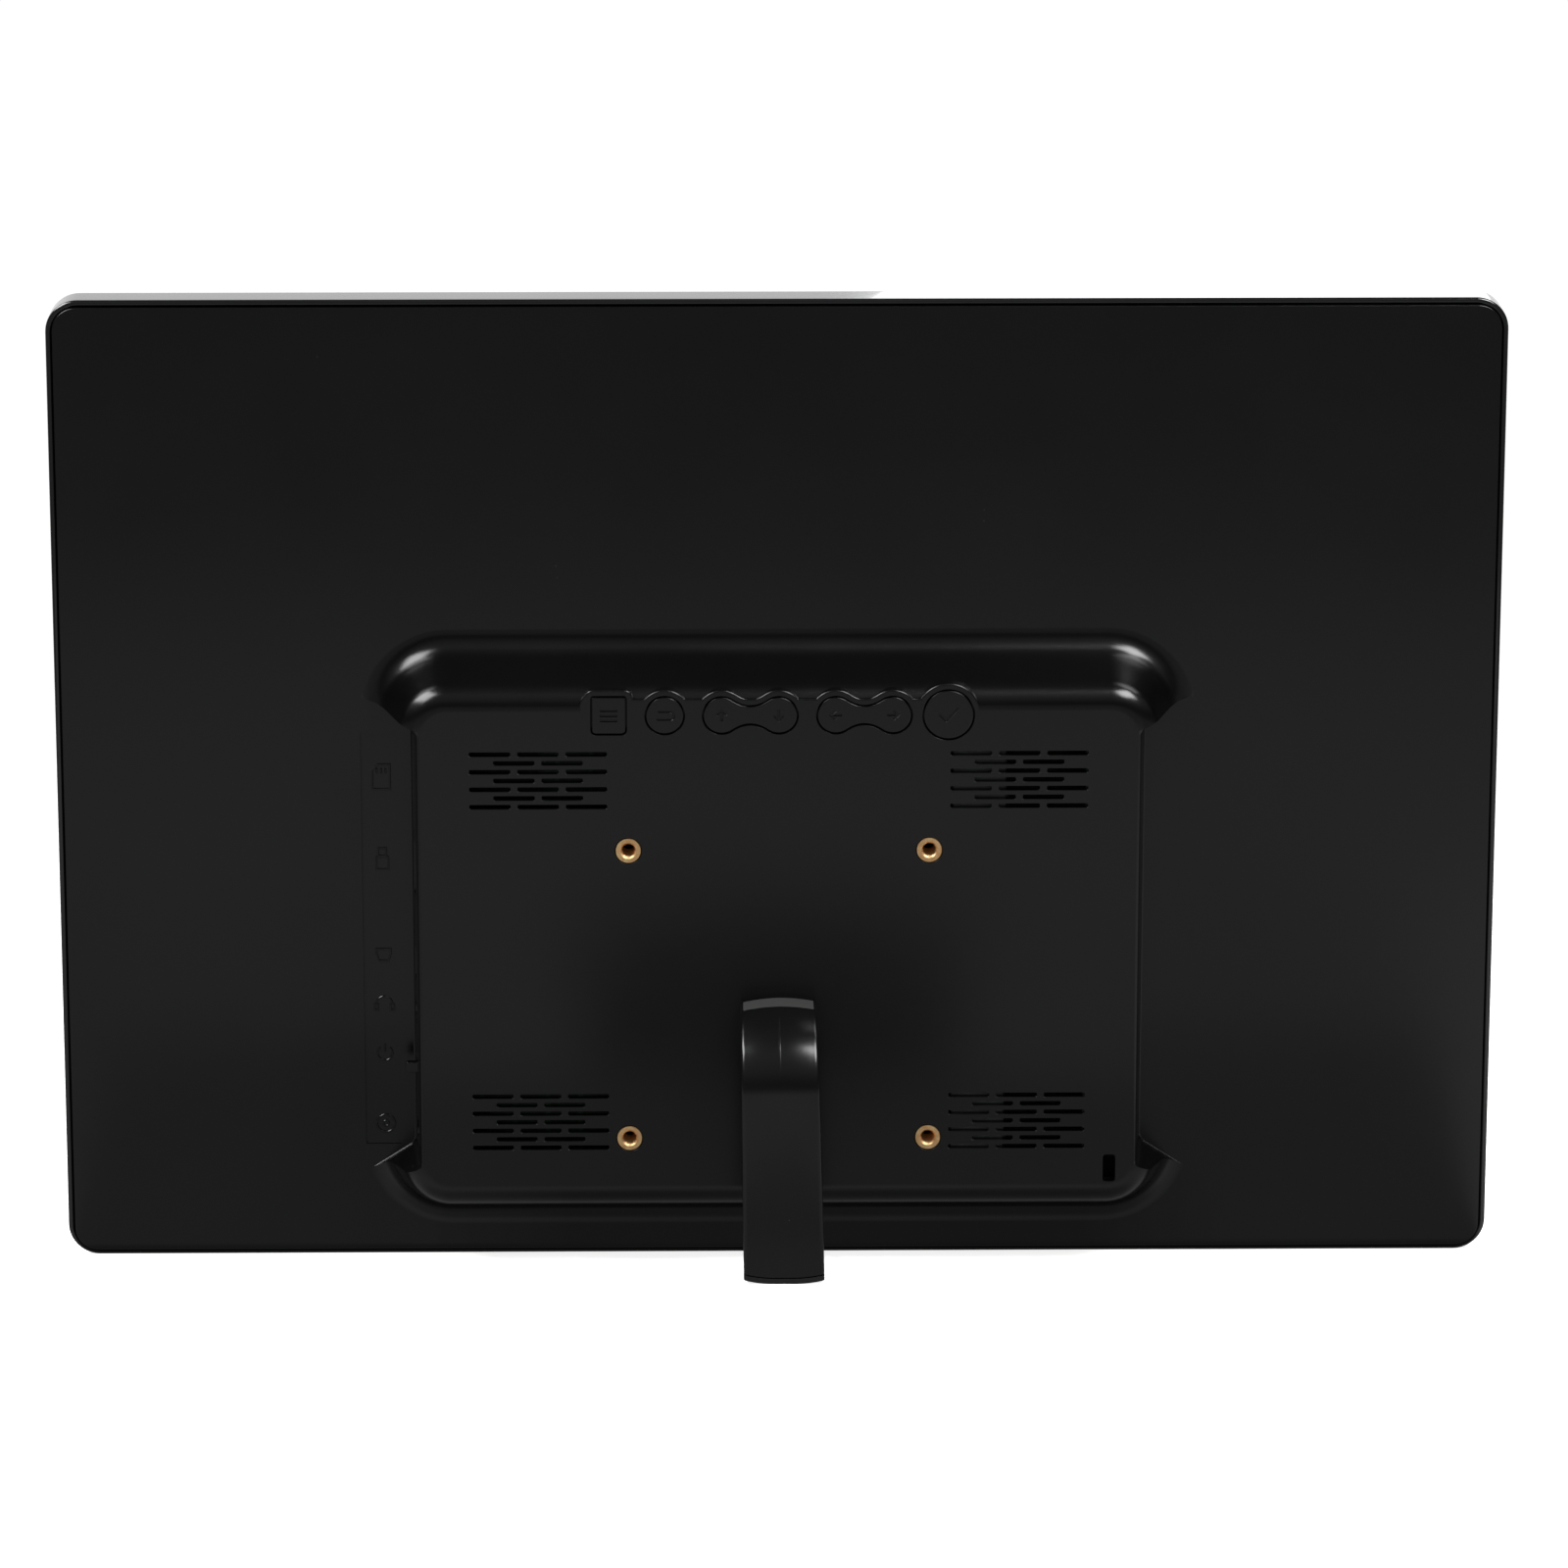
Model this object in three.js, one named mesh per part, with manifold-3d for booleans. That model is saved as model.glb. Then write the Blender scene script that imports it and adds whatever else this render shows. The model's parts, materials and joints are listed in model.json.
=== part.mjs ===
// A 15.4 inch digital photo frame on a curved plug-in stand, built as separate parts.
// Units are millimetres. +Z is up, the screen faces -Y and the back faces +Y.
// Inside the leaning group X runs across the frame, Y (called depth here) runs out of the
// flat back face, and Z (called up) runs up the back from its lower edge.
import * as THREE from "three";
import { mergeVertices } from "three/addons/utils/BufferGeometryUtils.js";
import Module from "manifold-3d";

const wasm = await Module();
wasm.setup();

// ---- Driving dimensions -------------------------------------------------------------------
const FRAME_WIDTH = 362;
const FRAME_HEIGHT = 248;
const CORNER_RADIUS = 8;
const LEAN_DEGREES = 10.3;
const BEZEL_FRONT = -15;
const BEZEL_BACK = -3.3;
const COVER_EDGE_FRONT = -3;
const COVER_EDGE_INSET = 1;
const WALL = 2;
const SLIP_GAP = 0.3;

const SCREEN_WIDTH = 331.2;
const SCREEN_HEIGHT = 207;
const SCREEN_CENTRE_UP = FRAME_HEIGHT / 2;

const HUMP_HEIGHT = 19.5;
const HUMP_HALF_WIDTH = 105;
const HUMP_BOTTOM = 8.5;
const HUMP_TOP = 164.6;
const HUMP_CORNER = 22.5;
const HUMP_SLOPE_DEGREES = 71;
const HUMP_ROOT_FILLET = 7;
const HUMP_EDGE_FILLET = 6.8;

const NOTCH_WALL_AT_BACK = 91.9;
const NOTCH_WALL_AT_PLATE = 90;
const NOTCH_LOW = 30.8;
const NOTCH_LOW_FLARE = 0.64;
const NOTCH_HIGH = 141.6;
const NOTCH_HIGH_FLARE = 0.48;
const NOTCH_END_DRAFT = 1.2;

const VESA_SPACING = 75;
const VESA_CENTRE_UP = 74.9;
const INSERT_RADIUS = 3.15;
const INSERT_BORE_RADIUS = 1.65;
const INSERT_LENGTH = 8;

const VENT_X = 59.8;
const VENT_UPS = [130.5, 41.7];
const SLOT_LENGTH = 10.2;
const SLOT_WIDTH = 1.1;
const SLOT_PITCH = 12;
const SLOT_ROW_PITCH = 2.25;

const LOCK_X = -83.3;
const LOCK_UP = 29;
const LOCK_WIDTH = 3;
const LOCK_LENGTH = 7;

const BUTTON_UP = 147.1;
const BUTTON_PITCH = 14.15;
const BUTTON_HALF_GAP = 0.25;
const BUTTON_LIP = 0.65;
const BUTTON_POCKET = 0.95;
const SHELF_MARGIN = 1.6;
const MENU_X = 42.2;
const BACK_X = 28.3;
const OK_X = -42.1;
const LOBE_RADIUS = 4.7;
const OK_RADIUS = 6.3;
const NECK_HALF_HEIGHT = 1.9;

const PORT_BOARD_TOP = 4.5;
const SWITCH_UP = 53;
const SWITCH_DEPTH = 8;
const SWITCH_TRAVEL = 2;

const HUB_UP = 64.3;
const HUB_RADIUS = 9;
const ARM_TOP_UP = 73.8;
const ARM_HALF_WIDTH_AT_ROOT = 9.6;
const ARM_HALF_WIDTH_AT_BEND = 9.8;
const ARM_HALF_WIDTH_AT_FOOT = 10.05;
const STAND_TWIST_DEGREES = 1;
const ARM_STRAIGHT = 6.7;
const ARM_BEND_RADIUS = 20;
const ARM_RIDGE = 0.9;
const FOOT_ARC_RADIUS = 34;
const FOOT_PAD_HEIGHT = 1.3;
const FOOT_CENTRE_X = -0.95;

// ---- Materials ----------------------------------------------------------------------------
function material(colour, roughness, metalness = 0) {
  return new THREE.MeshStandardMaterial({ color: colour, roughness, metalness });
}
const SATIN_BLACK = material(0x202022, 0.42);
const GLOSS_BLACK = material(0x0c0c0d, 0.12);
const STAND_BLACK = material(0x232325, 0.3);
const KEY_BLACK = material(0x1c1c1e, 0.38);
const BRASS = material(0xc8965a, 0.35, 1);
const STEEL = material(0xa8abae, 0.4, 1);
const BOARD_GREEN = material(0x1d5a35, 0.55);
const CHIP_BLACK = material(0x141416, 0.6);
const SOCKET_METAL = material(0xc4c6c8, 0.3, 1);
const SCREEN_GLASS = material(0x07080a, 0.08);
const ACRYLIC = material(0xe8eef0, 0.2);
const CONE_PAPER = material(0x26241f, 0.85);
const FRAME_GREY = material(0x55585c, 0.6);
const RIBBON = material(0xd8b45c, 0.5);
const RUBBER = material(0x0d0d0e, 0.8);

// ---- Solids -------------------------------------------------------------------------------
function toSolid(geometry) {
  const bare = geometry.index ? geometry.toNonIndexed() : geometry.clone();
  bare.deleteAttribute("normal");
  bare.deleteAttribute("uv");
  const merged = mergeVertices(bare, 1e-4);
  const mesh = new wasm.Mesh({
    numProp: 3,
    vertProperties: merged.attributes.position.array,
    triVerts: new Uint32Array(merged.index.array),
  });
  return new wasm.Manifold(mesh);
}

function toGeometry(solid) {
  const mesh = solid.getMesh();
  const geometry = new THREE.BufferGeometry();
  geometry.setAttribute("position", new THREE.BufferAttribute(mesh.vertProperties, 3));
  geometry.setIndex(new THREE.BufferAttribute(mesh.triVerts, 1));
  const faceted = geometry.toNonIndexed();
  faceted.computeVertexNormals();
  return faceted;
}

function union(...solids) {
  return solids.reduce((all, next) => all.add(next));
}

// A box from low to high corner, in across, depth and up.
function block(x0, x1, depth0, depth1, up0, up1) {
  const box = new THREE.BoxGeometry(x1 - x0, depth1 - depth0, up1 - up0);
  box.translate((x0 + x1) / 2, (depth0 + depth1) / 2, (up0 + up1) / 2);
  return toSolid(box);
}

// A round bar along the depth direction.
function postAlongDepth(x, up, radius, depth0, depth1, sides = 24) {
  const bar = new THREE.CylinderGeometry(radius, radius, depth1 - depth0, sides);
  bar.translate(x, (depth0 + depth1) / 2, up);
  return toSolid(bar);
}

// A round bar along the across direction.
function postAlongX(depth, up, radius, x0, x1, sides = 20) {
  const bar = new THREE.CylinderGeometry(radius, radius, x1 - x0, sides);
  bar.rotateZ(Math.PI / 2);
  bar.translate((x0 + x1) / 2, depth, up);
  return toSolid(bar);
}

// A flat outline in across and up, given thickness along depth.
function slab(shape, depth0, depth1, curveSegments = 10) {
  const options = { depth: depth1 - depth0, bevelEnabled: false, curveSegments };
  const plate = new THREE.ExtrudeGeometry(shape, options);
  plate.rotateX(Math.PI / 2);
  plate.translate(0, depth1, 0);
  return toSolid(plate);
}

function circleOutline(x, up, radius) {
  const shape = new THREE.Shape();
  shape.absarc(x, up, radius, 0, 2 * Math.PI);
  return shape;
}

// Points of a rounded rectangle, counter-clockwise seen with across to the right and up up.
function ringPoints(halfWidth, low, high, radius, cornerSteps = 6) {
  const corners = [
    [halfWidth - radius, high - radius, 0],
    [radius - halfWidth, high - radius, 1],
    [radius - halfWidth, low + radius, 2],
    [halfWidth - radius, low + radius, 3],
  ];
  const points = [];
  for (const [x, up, quarter] of corners) {
    for (let step = 0; step <= cornerSteps; step += 1) {
      const angle = (quarter + step / cornerSteps) * (Math.PI / 2);
      points.push([x + radius * Math.cos(angle), up + radius * Math.sin(angle)]);
    }
  }
  return points;
}

// A closed solid through rings of 3-D points. All rings hold the same number of points and
// turn the same way, and each end ring is convex.
function skinThrough(rings) {
  const count = rings[0].length;
  const positions = [];
  const index = [];
  for (const ring of rings) {
    for (const [x, y, z] of ring) {
      positions.push(x, y, z);
    }
  }
  for (let level = 0; level + 1 < rings.length; level += 1) {
    for (let i = 0; i < count; i += 1) {
      const a = level * count + i;
      const b = level * count + ((i + 1) % count);
      index.push(a, b, b + count, a, b + count, a + count);
    }
  }
  const last = (rings.length - 1) * count;
  for (let i = 1; i + 1 < count; i += 1) {
    index.push(0, i + 1, i, last, last + i, last + i + 1);
  }
  const geometry = new THREE.BufferGeometry();
  geometry.setAttribute("position", new THREE.Float32BufferAttribute(positions, 3));
  geometry.setIndex(index);
  const solid = toSolid(geometry);
  if (solid.volume() > 0) {
    return solid;
  }
  const turned = rings.map((ring) => [...ring].reverse());
  return skinThrough(turned);
}

// Rounded rectangles stacked along depth: each level is [inset, depth, corner radius].
function stackedOutline(halfWidth, low, high, levels, cornerSteps = 6) {
  const rings = levels.map(([inset, depth, radius]) =>
    ringPoints(halfWidth - inset, low + inset, high - inset, radius, cornerSteps).map(
      ([x, up]) => [x, depth, up],
    ),
  );
  return skinThrough(rings);
}

// ---- Rear cover: flat back, raised housing and tongue -------------------------------------
const SLOPE = THREE.MathUtils.degToRad(HUMP_SLOPE_DEGREES);

// Inset and depth of the housing's side, from the flat back to the housing's flat plate.
function humpProfile(steps = 3) {
  const points = [];
  for (let i = 0; i <= steps; i += 1) {
    const angle = (SLOPE * i) / steps;
    points.push([
      HUMP_ROOT_FILLET * Math.sin(angle),
      HUMP_ROOT_FILLET * (1 - Math.cos(angle)),
    ]);
  }
  const rootRise = HUMP_ROOT_FILLET * (1 - Math.cos(SLOPE));
  const edgeRise = HUMP_EDGE_FILLET * (1 - Math.cos(SLOPE));
  const straightRun = (HUMP_HEIGHT - rootRise - edgeRise) / Math.tan(SLOPE);
  const edgeStart = HUMP_ROOT_FILLET * Math.sin(SLOPE) + straightRun;
  const fullRun = edgeStart + HUMP_EDGE_FILLET * Math.sin(SLOPE);
  for (let i = 0; i <= steps; i += 1) {
    const angle = SLOPE * (1 - i / steps);
    points.push([
      fullRun - HUMP_EDGE_FILLET * Math.sin(angle),
      HUMP_HEIGHT - HUMP_EDGE_FILLET * (1 - Math.cos(angle)),
    ]);
  }
  return points;
}

function humpOuter() {
  const levels = [[0, -1, HUMP_CORNER]];
  for (const [inset, depth] of humpProfile()) {
    levels.push([inset, depth, HUMP_CORNER - inset]);
  }
  return stackedOutline(HUMP_HALF_WIDTH, HUMP_BOTTOM, HUMP_TOP, levels);
}

function humpHollow() {
  const levels = [
    [8.5, -WALL - 1, 14],
    [8.5, 4.07, 14],
    [12, 14.27, 10.5],
    [13.2, 16.09, 9.3],
    [14.9, 17.2, 7.6],
    [16.56, HUMP_HEIGHT - WALL, 6],
  ];
  return stackedOutline(HUMP_HALF_WIDTH, HUMP_BOTTOM, HUMP_TOP, levels, 4);
}

// The wedge of space beside the housing where the sockets open, grown by a margin.
function notchSpace(side, margin, floor) {
  const outlineAt = (depth) => {
    const share = depth / HUMP_HEIGHT;
    const wall = THREE.MathUtils.lerp(NOTCH_WALL_AT_BACK, NOTCH_WALL_AT_PLATE, share);
    const x0 = wall - margin;
    const reach = 120 - x0;
    const low = NOTCH_LOW - margin - share * NOTCH_END_DRAFT;
    const high = NOTCH_HIGH + margin + share * NOTCH_END_DRAFT;
    return [
      [side * x0, depth, low],
      [side * 120, depth, low - NOTCH_LOW_FLARE * reach],
      [side * 120, depth, high + NOTCH_HIGH_FLARE * reach],
      [side * x0, depth, high],
    ];
  };
  return skinThrough([outlineAt(floor), outlineAt(HUMP_HEIGHT + 5)]);
}

function ventCuts() {
  const cuts = [];
  for (const side of [-1, 1]) {
    for (const centreUp of VENT_UPS) {
      for (let row = -3; row <= 3; row += 1) {
        const count = row % 2 === 0 ? 2 : 3;
        for (let i = 0; i < count; i += 1) {
          const x = side * VENT_X + (i - (count - 1) / 2) * SLOT_PITCH;
          const up = centreUp + row * SLOT_ROW_PITCH;
          cuts.push(
            block(
              x - SLOT_LENGTH / 2,
              x + SLOT_LENGTH / 2,
              HUMP_HEIGHT - WALL - 1,
              HUMP_HEIGHT + 1,
              up - SLOT_WIDTH / 2,
              up + SLOT_WIDTH / 2,
            ),
          );
        }
      }
    }
  }
  return wasm.Manifold.union(cuts);
}

// ---- Keys ---------------------------------------------------------------------------------
// A rocker outline: two round ends joined by a waisted neck.
function rockerOutline(centreX, grow) {
  const radius = LOBE_RADIUS + grow;
  const half = BUTTON_PITCH / 2;
  const neck = NECK_HALF_HEIGHT + grow;
  const leave = THREE.MathUtils.degToRad(52);
  const right = centreX + half;
  const left = centreX - half;
  const shape = new THREE.Shape();
  shape.absarc(right, BUTTON_UP, radius, leave - Math.PI, Math.PI - leave);
  shape.quadraticCurveTo(
    centreX,
    BUTTON_UP + neck - 0.9,
    left + radius * Math.cos(leave),
    BUTTON_UP + radius * Math.sin(leave),
  );
  shape.absarc(left, BUTTON_UP, radius, leave, 2 * Math.PI - leave);
  shape.quadraticCurveTo(
    centreX,
    BUTTON_UP - neck + 0.9,
    right - radius * Math.cos(leave),
    BUTTON_UP - radius * Math.sin(leave),
  );
  return shape;
}

function menuOutline(grow) {
  const half = 4.31 + grow;
  const low = BUTTON_UP - 4.82 - grow;
  const high = BUTTON_UP + 4.82 + grow;
  const soft = 1.2 + grow;
  const tight = 0.4 + grow;
  const shape = new THREE.Shape();
  shape.moveTo(MENU_X + half, low + soft);
  shape.lineTo(MENU_X + half, high - tight);
  shape.absarc(MENU_X + half - tight, high - tight, tight, 0, Math.PI / 2);
  shape.absarc(MENU_X - half + tight, high - tight, tight, Math.PI / 2, Math.PI);
  shape.absarc(MENU_X - half + soft, low + soft, soft, Math.PI, 1.5 * Math.PI);
  shape.absarc(MENU_X + half - soft, low + soft, soft, 1.5 * Math.PI, 2 * Math.PI);
  return shape;
}

// Each outline is the middle of the gap round a key, grown by a margin.
const KEY_OUTLINES = {
  menu_button: (grow) => [menuOutline(grow), 3],
  back_button: (grow) => [circleOutline(BACK_X, BUTTON_UP, LOBE_RADIUS + 0.1 + grow), 14],
  up_down_rocker: (grow) => [rockerOutline(BUTTON_PITCH / 2, grow), 9],
  left_right_rocker: (grow) => [rockerOutline(-1.5 * BUTTON_PITCH, grow), 9],
  ok_button: (grow) => [circleOutline(OK_X, BUTTON_UP, OK_RADIUS + grow), 16],
};

function keySlab(name, grow, depth0, depth1) {
  const [shape, segments] = KEY_OUTLINES[name](grow);
  return slab(shape, depth0, depth1, segments);
}

function allKeySlabs(grow, depth0, depth1) {
  const names = Object.keys(KEY_OUTLINES);
  return union(...names.map((name) => keySlab(name, grow, depth0, depth1)));
}

const KEY_LIP_BACK = 16.8;
const KEY_LIP_FRONT = 16.1;

function keyCap(name) {
  const cap = keySlab(name, -BUTTON_HALF_GAP, KEY_LIP_FRONT + 0.1, HUMP_HEIGHT);
  const lip = keySlab(name, BUTTON_LIP, KEY_LIP_FRONT, KEY_LIP_BACK);
  return cap.add(lip);
}

// ---- Sockets in the side wall -------------------------------------------------------------
const CARD = { up: 126.5, halfUp: 12.6, depth: 6.1, halfDepth: 1.3 };
const USB = { up: 105, halfUp: 6.7, depth: 8.2, halfDepth: 3.1 };
const MINI_USB = { up: 80, halfUp: 3.9, depth: 6.9, halfDepth: 2.0 };
const HEADPHONE = { up: 67, radius: 2.6, depth: 7.4 };
const POWER_IN = { up: 35.4, radius: 3.6, depth: 9.3 };

function portCuts() {
  const inner = 84;
  const outer = 99;
  const window = (port) =>
    block(
      inner,
      outer,
      port.depth - port.halfDepth,
      port.depth + port.halfDepth,
      port.up - port.halfUp,
      port.up + port.halfUp,
    );
  const switchSlot = block(
    inner,
    outer,
    SWITCH_DEPTH - 1.3,
    SWITCH_DEPTH + 1.3,
    SWITCH_UP - 1.7,
    SWITCH_UP + 1.7 + SWITCH_TRAVEL,
  );
  return union(
    window(CARD),
    window(USB),
    window(MINI_USB),
    postAlongX(HEADPHONE.depth, HEADPHONE.up, HEADPHONE.radius + 0.4, inner, outer),
    postAlongX(POWER_IN.depth, POWER_IN.up, POWER_IN.radius + 0.4, inner, outer),
    switchSlot,
  );
}

// ---- Cover --------------------------------------------------------------------------------
const INSERT_PLACES = [];
for (const side of [1, -1]) {
  for (const level of [1, -1]) {
    INSERT_PLACES.push([
      (side * VESA_SPACING) / 2,
      VESA_CENTRE_UP + (level * VESA_SPACING) / 2,
    ]);
  }
}

function rearCover() {
  const half = FRAME_WIDTH / 2 - COVER_EDGE_INSET;
  const low = COVER_EDGE_INSET;
  const high = FRAME_HEIGHT - COVER_EDGE_INSET;
  const radius = CORNER_RADIUS - COVER_EDGE_INSET;
  const plate = stackedOutline(half, low, high, [
    [0, COVER_EDGE_FRONT, radius],
    [0, -0.9, radius],
    [0.26, -0.26, radius - 0.26],
    [0.9, 0, radius - 0.9],
  ]);
  const underside = stackedOutline(
    half,
    low,
    high,
    [
      [3.2, COVER_EDGE_FRONT - 1, radius - 3],
      [3.2, -WALL, radius - 3],
    ],
    4,
  );
  const tongueOuter = stackedOutline(half, low, high, [
    [1.3, -7, radius - 1.3],
    [1.3, COVER_EDGE_FRONT + 0.2, radius - 1.3],
  ]);
  const tongueInner = stackedOutline(
    half,
    low,
    high,
    [
      [3.2, -8, radius - 3],
      [3.2, COVER_EDGE_FRONT + 0.5, radius - 3],
    ],
    4,
  );
  let shell = plate.subtract(underside).add(tongueOuter.subtract(tongueInner));

  let hump = humpOuter().add(allKeySlabs(SHELF_MARGIN, 8, HUMP_HEIGHT));
  let hollow = humpHollow().add(allKeySlabs(BUTTON_POCKET, 12, HUMP_HEIGHT - WALL));
  for (const side of [1, -1]) {
    hump = hump.subtract(notchSpace(side, 0, -0.6));
    hollow = hollow.subtract(notchSpace(side, WALL, -WALL - 2));
  }
  shell = shell.add(hump).subtract(hollow);

  const labelStrip = block(95.7, 104.7, -0.3, 1, 30, 138);
  shell = shell.subtract(labelStrip);
  for (const [x, up] of INSERT_PLACES) {
    shell = shell.add(postAlongDepth(x, up, 5, 11, HUMP_HEIGHT - 1, 16));
    shell = shell.subtract(postAlongDepth(x, up, INSERT_RADIUS + 0.15, 10, 21));
  }
  const hubWall = postAlongDepth(0, HUB_UP, HUB_RADIUS + 2.5, 17, HUMP_HEIGHT - 1, 24);
  shell = shell.add(hubWall);
  shell = shell.subtract(postAlongDepth(0, HUB_UP, HUB_RADIUS + 0.2, 15, 22, 32));
  const lockSlot = block(
    LOCK_X - LOCK_WIDTH / 2,
    LOCK_X + LOCK_WIDTH / 2,
    15,
    22,
    LOCK_UP - LOCK_LENGTH / 2,
    LOCK_UP + LOCK_LENGTH / 2,
  );
  return shell
    .subtract(ventCuts())
    .subtract(allKeySlabs(BUTTON_HALF_GAP, 12, HUMP_HEIGHT + 1))
    .subtract(portCuts())
    .subtract(lockSlot);
}

// ---- Bezel and screen ---------------------------------------------------------------------
function frontBezel() {
  const half = FRAME_WIDTH / 2;
  const r = CORNER_RADIUS;
  const outer = stackedOutline(half, 0, FRAME_HEIGHT, [
    [4, BEZEL_FRONT, r - 3.6],
    [2, BEZEL_FRONT + 0.54, r - 1.9],
    [0.54, BEZEL_FRONT + 2, r - 0.5],
    [0, BEZEL_FRONT + 4, r],
    [0, BEZEL_BACK, r],
  ]);
  const inner = stackedOutline(
    half,
    0,
    FRAME_HEIGHT,
    [
      [2, BEZEL_FRONT + WALL + 1.5, r - 2],
      [2, BEZEL_BACK + 1, r - 2],
    ],
    4,
  );
  const innerFront = stackedOutline(
    half,
    0,
    FRAME_HEIGHT,
    [
      [4.5, BEZEL_FRONT + WALL, r - 4],
      [4.5, BEZEL_BACK, r - 4],
    ],
    4,
  );
  const halfWindow = SCREEN_WIDTH / 2 + 0.6;
  const lowWindow = SCREEN_CENTRE_UP - SCREEN_HEIGHT / 2 - 0.6;
  const highWindow = SCREEN_CENTRE_UP + SCREEN_HEIGHT / 2 + 0.6;
  const window = stackedOutline(
    halfWindow,
    lowWindow,
    highWindow,
    [
      [-1.2, BEZEL_FRONT - 0.5, 1],
      [0, BEZEL_FRONT + 1.2, 0.5],
      [0, BEZEL_BACK + 1, 0.5],
    ],
    1,
  );
  let bezel = outer.subtract(inner).subtract(innerFront).subtract(window);
  for (const [x, up] of TRAY_SCREWS) {
    bezel = bezel.add(postAlongDepth(x, up, 3, BEZEL_FRONT + 1, -8.6, 12));
    bezel = bezel.subtract(postAlongDepth(x, up, 1.25, -12.9, -8, 12));
  }
  return bezel;
}

const TRAY_SCREWS = [];
for (const side of [1, -1]) {
  for (const up of [62, 186]) {
    TRAY_SCREWS.push([side * 174.2, up]);
  }
}

function screenBlock(halfWidth, halfHeight, depth0, depth1) {
  return block(
    -halfWidth,
    halfWidth,
    depth0,
    depth1,
    SCREEN_CENTRE_UP - halfHeight,
    SCREEN_CENTRE_UP + halfHeight,
  );
}

const TRAY_FRONT = -8.3;
const TRAY_BACK = -7.5;
const BOARD_BACK = PORT_BOARD_TOP;
const BOARD_FRONT = PORT_BOARD_TOP - 1.6;
const STANDOFFS = [
  [82, 44],
  [82, 92],
  [-24, 36],
  [-24, 134],
];

function lcdTray() {
  let tray = screenBlock(169.8, 108, TRAY_FRONT, TRAY_BACK);
  for (const [x, up] of TRAY_SCREWS) {
    const inner = Math.sign(x) * 168;
    const outer = Math.sign(x) * 177;
    const x0 = Math.min(inner, outer);
    const x1 = Math.max(inner, outer);
    tray = tray.add(block(x0, x1, TRAY_FRONT, TRAY_BACK, up - 4, up + 4));
    tray = tray.subtract(postAlongDepth(x, up, 1.6, TRAY_FRONT - 1, TRAY_BACK + 1, 12));
  }
  for (const [x, up] of STANDOFFS) {
    tray = tray.add(postAlongDepth(x, up, 3, TRAY_BACK - 0.3, BOARD_FRONT - 0.2, 12));
    tray = tray.subtract(postAlongDepth(x, up, 1.25, TRAY_BACK + 3, BOARD_FRONT + 1, 12));
  }
  return tray;
}

function screwAt(x, up, seatDepth, headRadius, shankRadius, length) {
  const head = postAlongDepth(x, up, headRadius, seatDepth, seatDepth + 1.4, 16);
  const shank = postAlongDepth(x, up, shankRadius, seatDepth - length, seatDepth + 0.1, 12);
  const driveX = block(x - 1.2, x + 1.2, seatDepth + 0.7, seatDepth + 2, up - 0.3, up + 0.3);
  const driveUp = block(x - 0.3, x + 0.3, seatDepth + 0.7, seatDepth + 2, up - 1.2, up + 1.2);
  return head.add(shank).subtract(driveX).subtract(driveUp);
}

// ---- Boards and sockets -------------------------------------------------------------------
function mainBoard() {
  let board = block(-30, 87.4, BOARD_FRONT, BOARD_BACK, 29.5, 140.4);
  for (const [x, up] of STANDOFFS) {
    board = board.subtract(postAlongDepth(x, up, 1.6, BOARD_FRONT - 1, BOARD_BACK + 1, 12));
  }
  return board;
}

const ON_BOARD = BOARD_BACK + 0.3;

function cardSocket() {
  const body = block(60, 87.6, ON_BOARD, 8, CARD.up - 13.6, CARD.up + 12.9);
  const slot = block(62, 89, 5.2, 7.1, CARD.up - 12.1, CARD.up + 12.1);
  return body.subtract(slot);
}

function usbSocket() {
  const body = block(74, 87.8, ON_BOARD, 11.8, USB.up - 7.2, USB.up + 7.2);
  const mouth = block(76, 89, 5.6, 10.8, USB.up - 6.25, USB.up + 6.25);
  const tongue = block(75.5, 87, 8.4, 10, USB.up - 5.6, USB.up + 5.6);
  return body.subtract(mouth).add(tongue);
}

function miniUsbSocket() {
  const body = block(79, 88, ON_BOARD, 9.1, MINI_USB.up - 3.9, MINI_USB.up + 3.9);
  const mouth = block(80, 89, 5.3, 8.5, MINI_USB.up - 3.4, MINI_USB.up + 3.4);
  const tongue = block(79.5, 87.4, 6.5, 7.3, MINI_USB.up - 2.4, MINI_USB.up + 2.4);
  return body.subtract(mouth).add(tongue);
}

function headphoneJack() {
  const body = block(75, 88, ON_BOARD, 10.2, HEADPHONE.up - 3.2, HEADPHONE.up + 3.2);
  const nose = postAlongX(HEADPHONE.depth, HEADPHONE.up, HEADPHONE.radius, 87, 90.6);
  const bore = postAlongX(HEADPHONE.depth, HEADPHONE.up, 1.8, 77, 92, 16);
  return body.add(nose).subtract(bore);
}

function powerSocket() {
  const body = block(73, 88, ON_BOARD, 13.9, POWER_IN.up - 4.6, POWER_IN.up + 4.6);
  const nose = postAlongX(POWER_IN.depth, POWER_IN.up, POWER_IN.radius, 87, 90.2);
  const bore = postAlongX(POWER_IN.depth, POWER_IN.up, 2.9, 76, 92);
  const pin = postAlongX(POWER_IN.depth, POWER_IN.up, 1, 75, 89.6, 12);
  return body.add(nose).subtract(bore).add(pin);
}

function powerSwitchBody() {
  const low = SWITCH_UP - 5;
  const high = SWITCH_UP + SWITCH_TRAVEL + 5;
  const body = block(79, 86.4, ON_BOARD, 11, low, high);
  const channel = block(
    82.4,
    88,
    SWITCH_DEPTH - 1.3,
    SWITCH_DEPTH + 1.3,
    SWITCH_UP - 1.9,
    SWITCH_UP + 1.9 + SWITCH_TRAVEL,
  );
  return body.subtract(channel);
}

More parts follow.
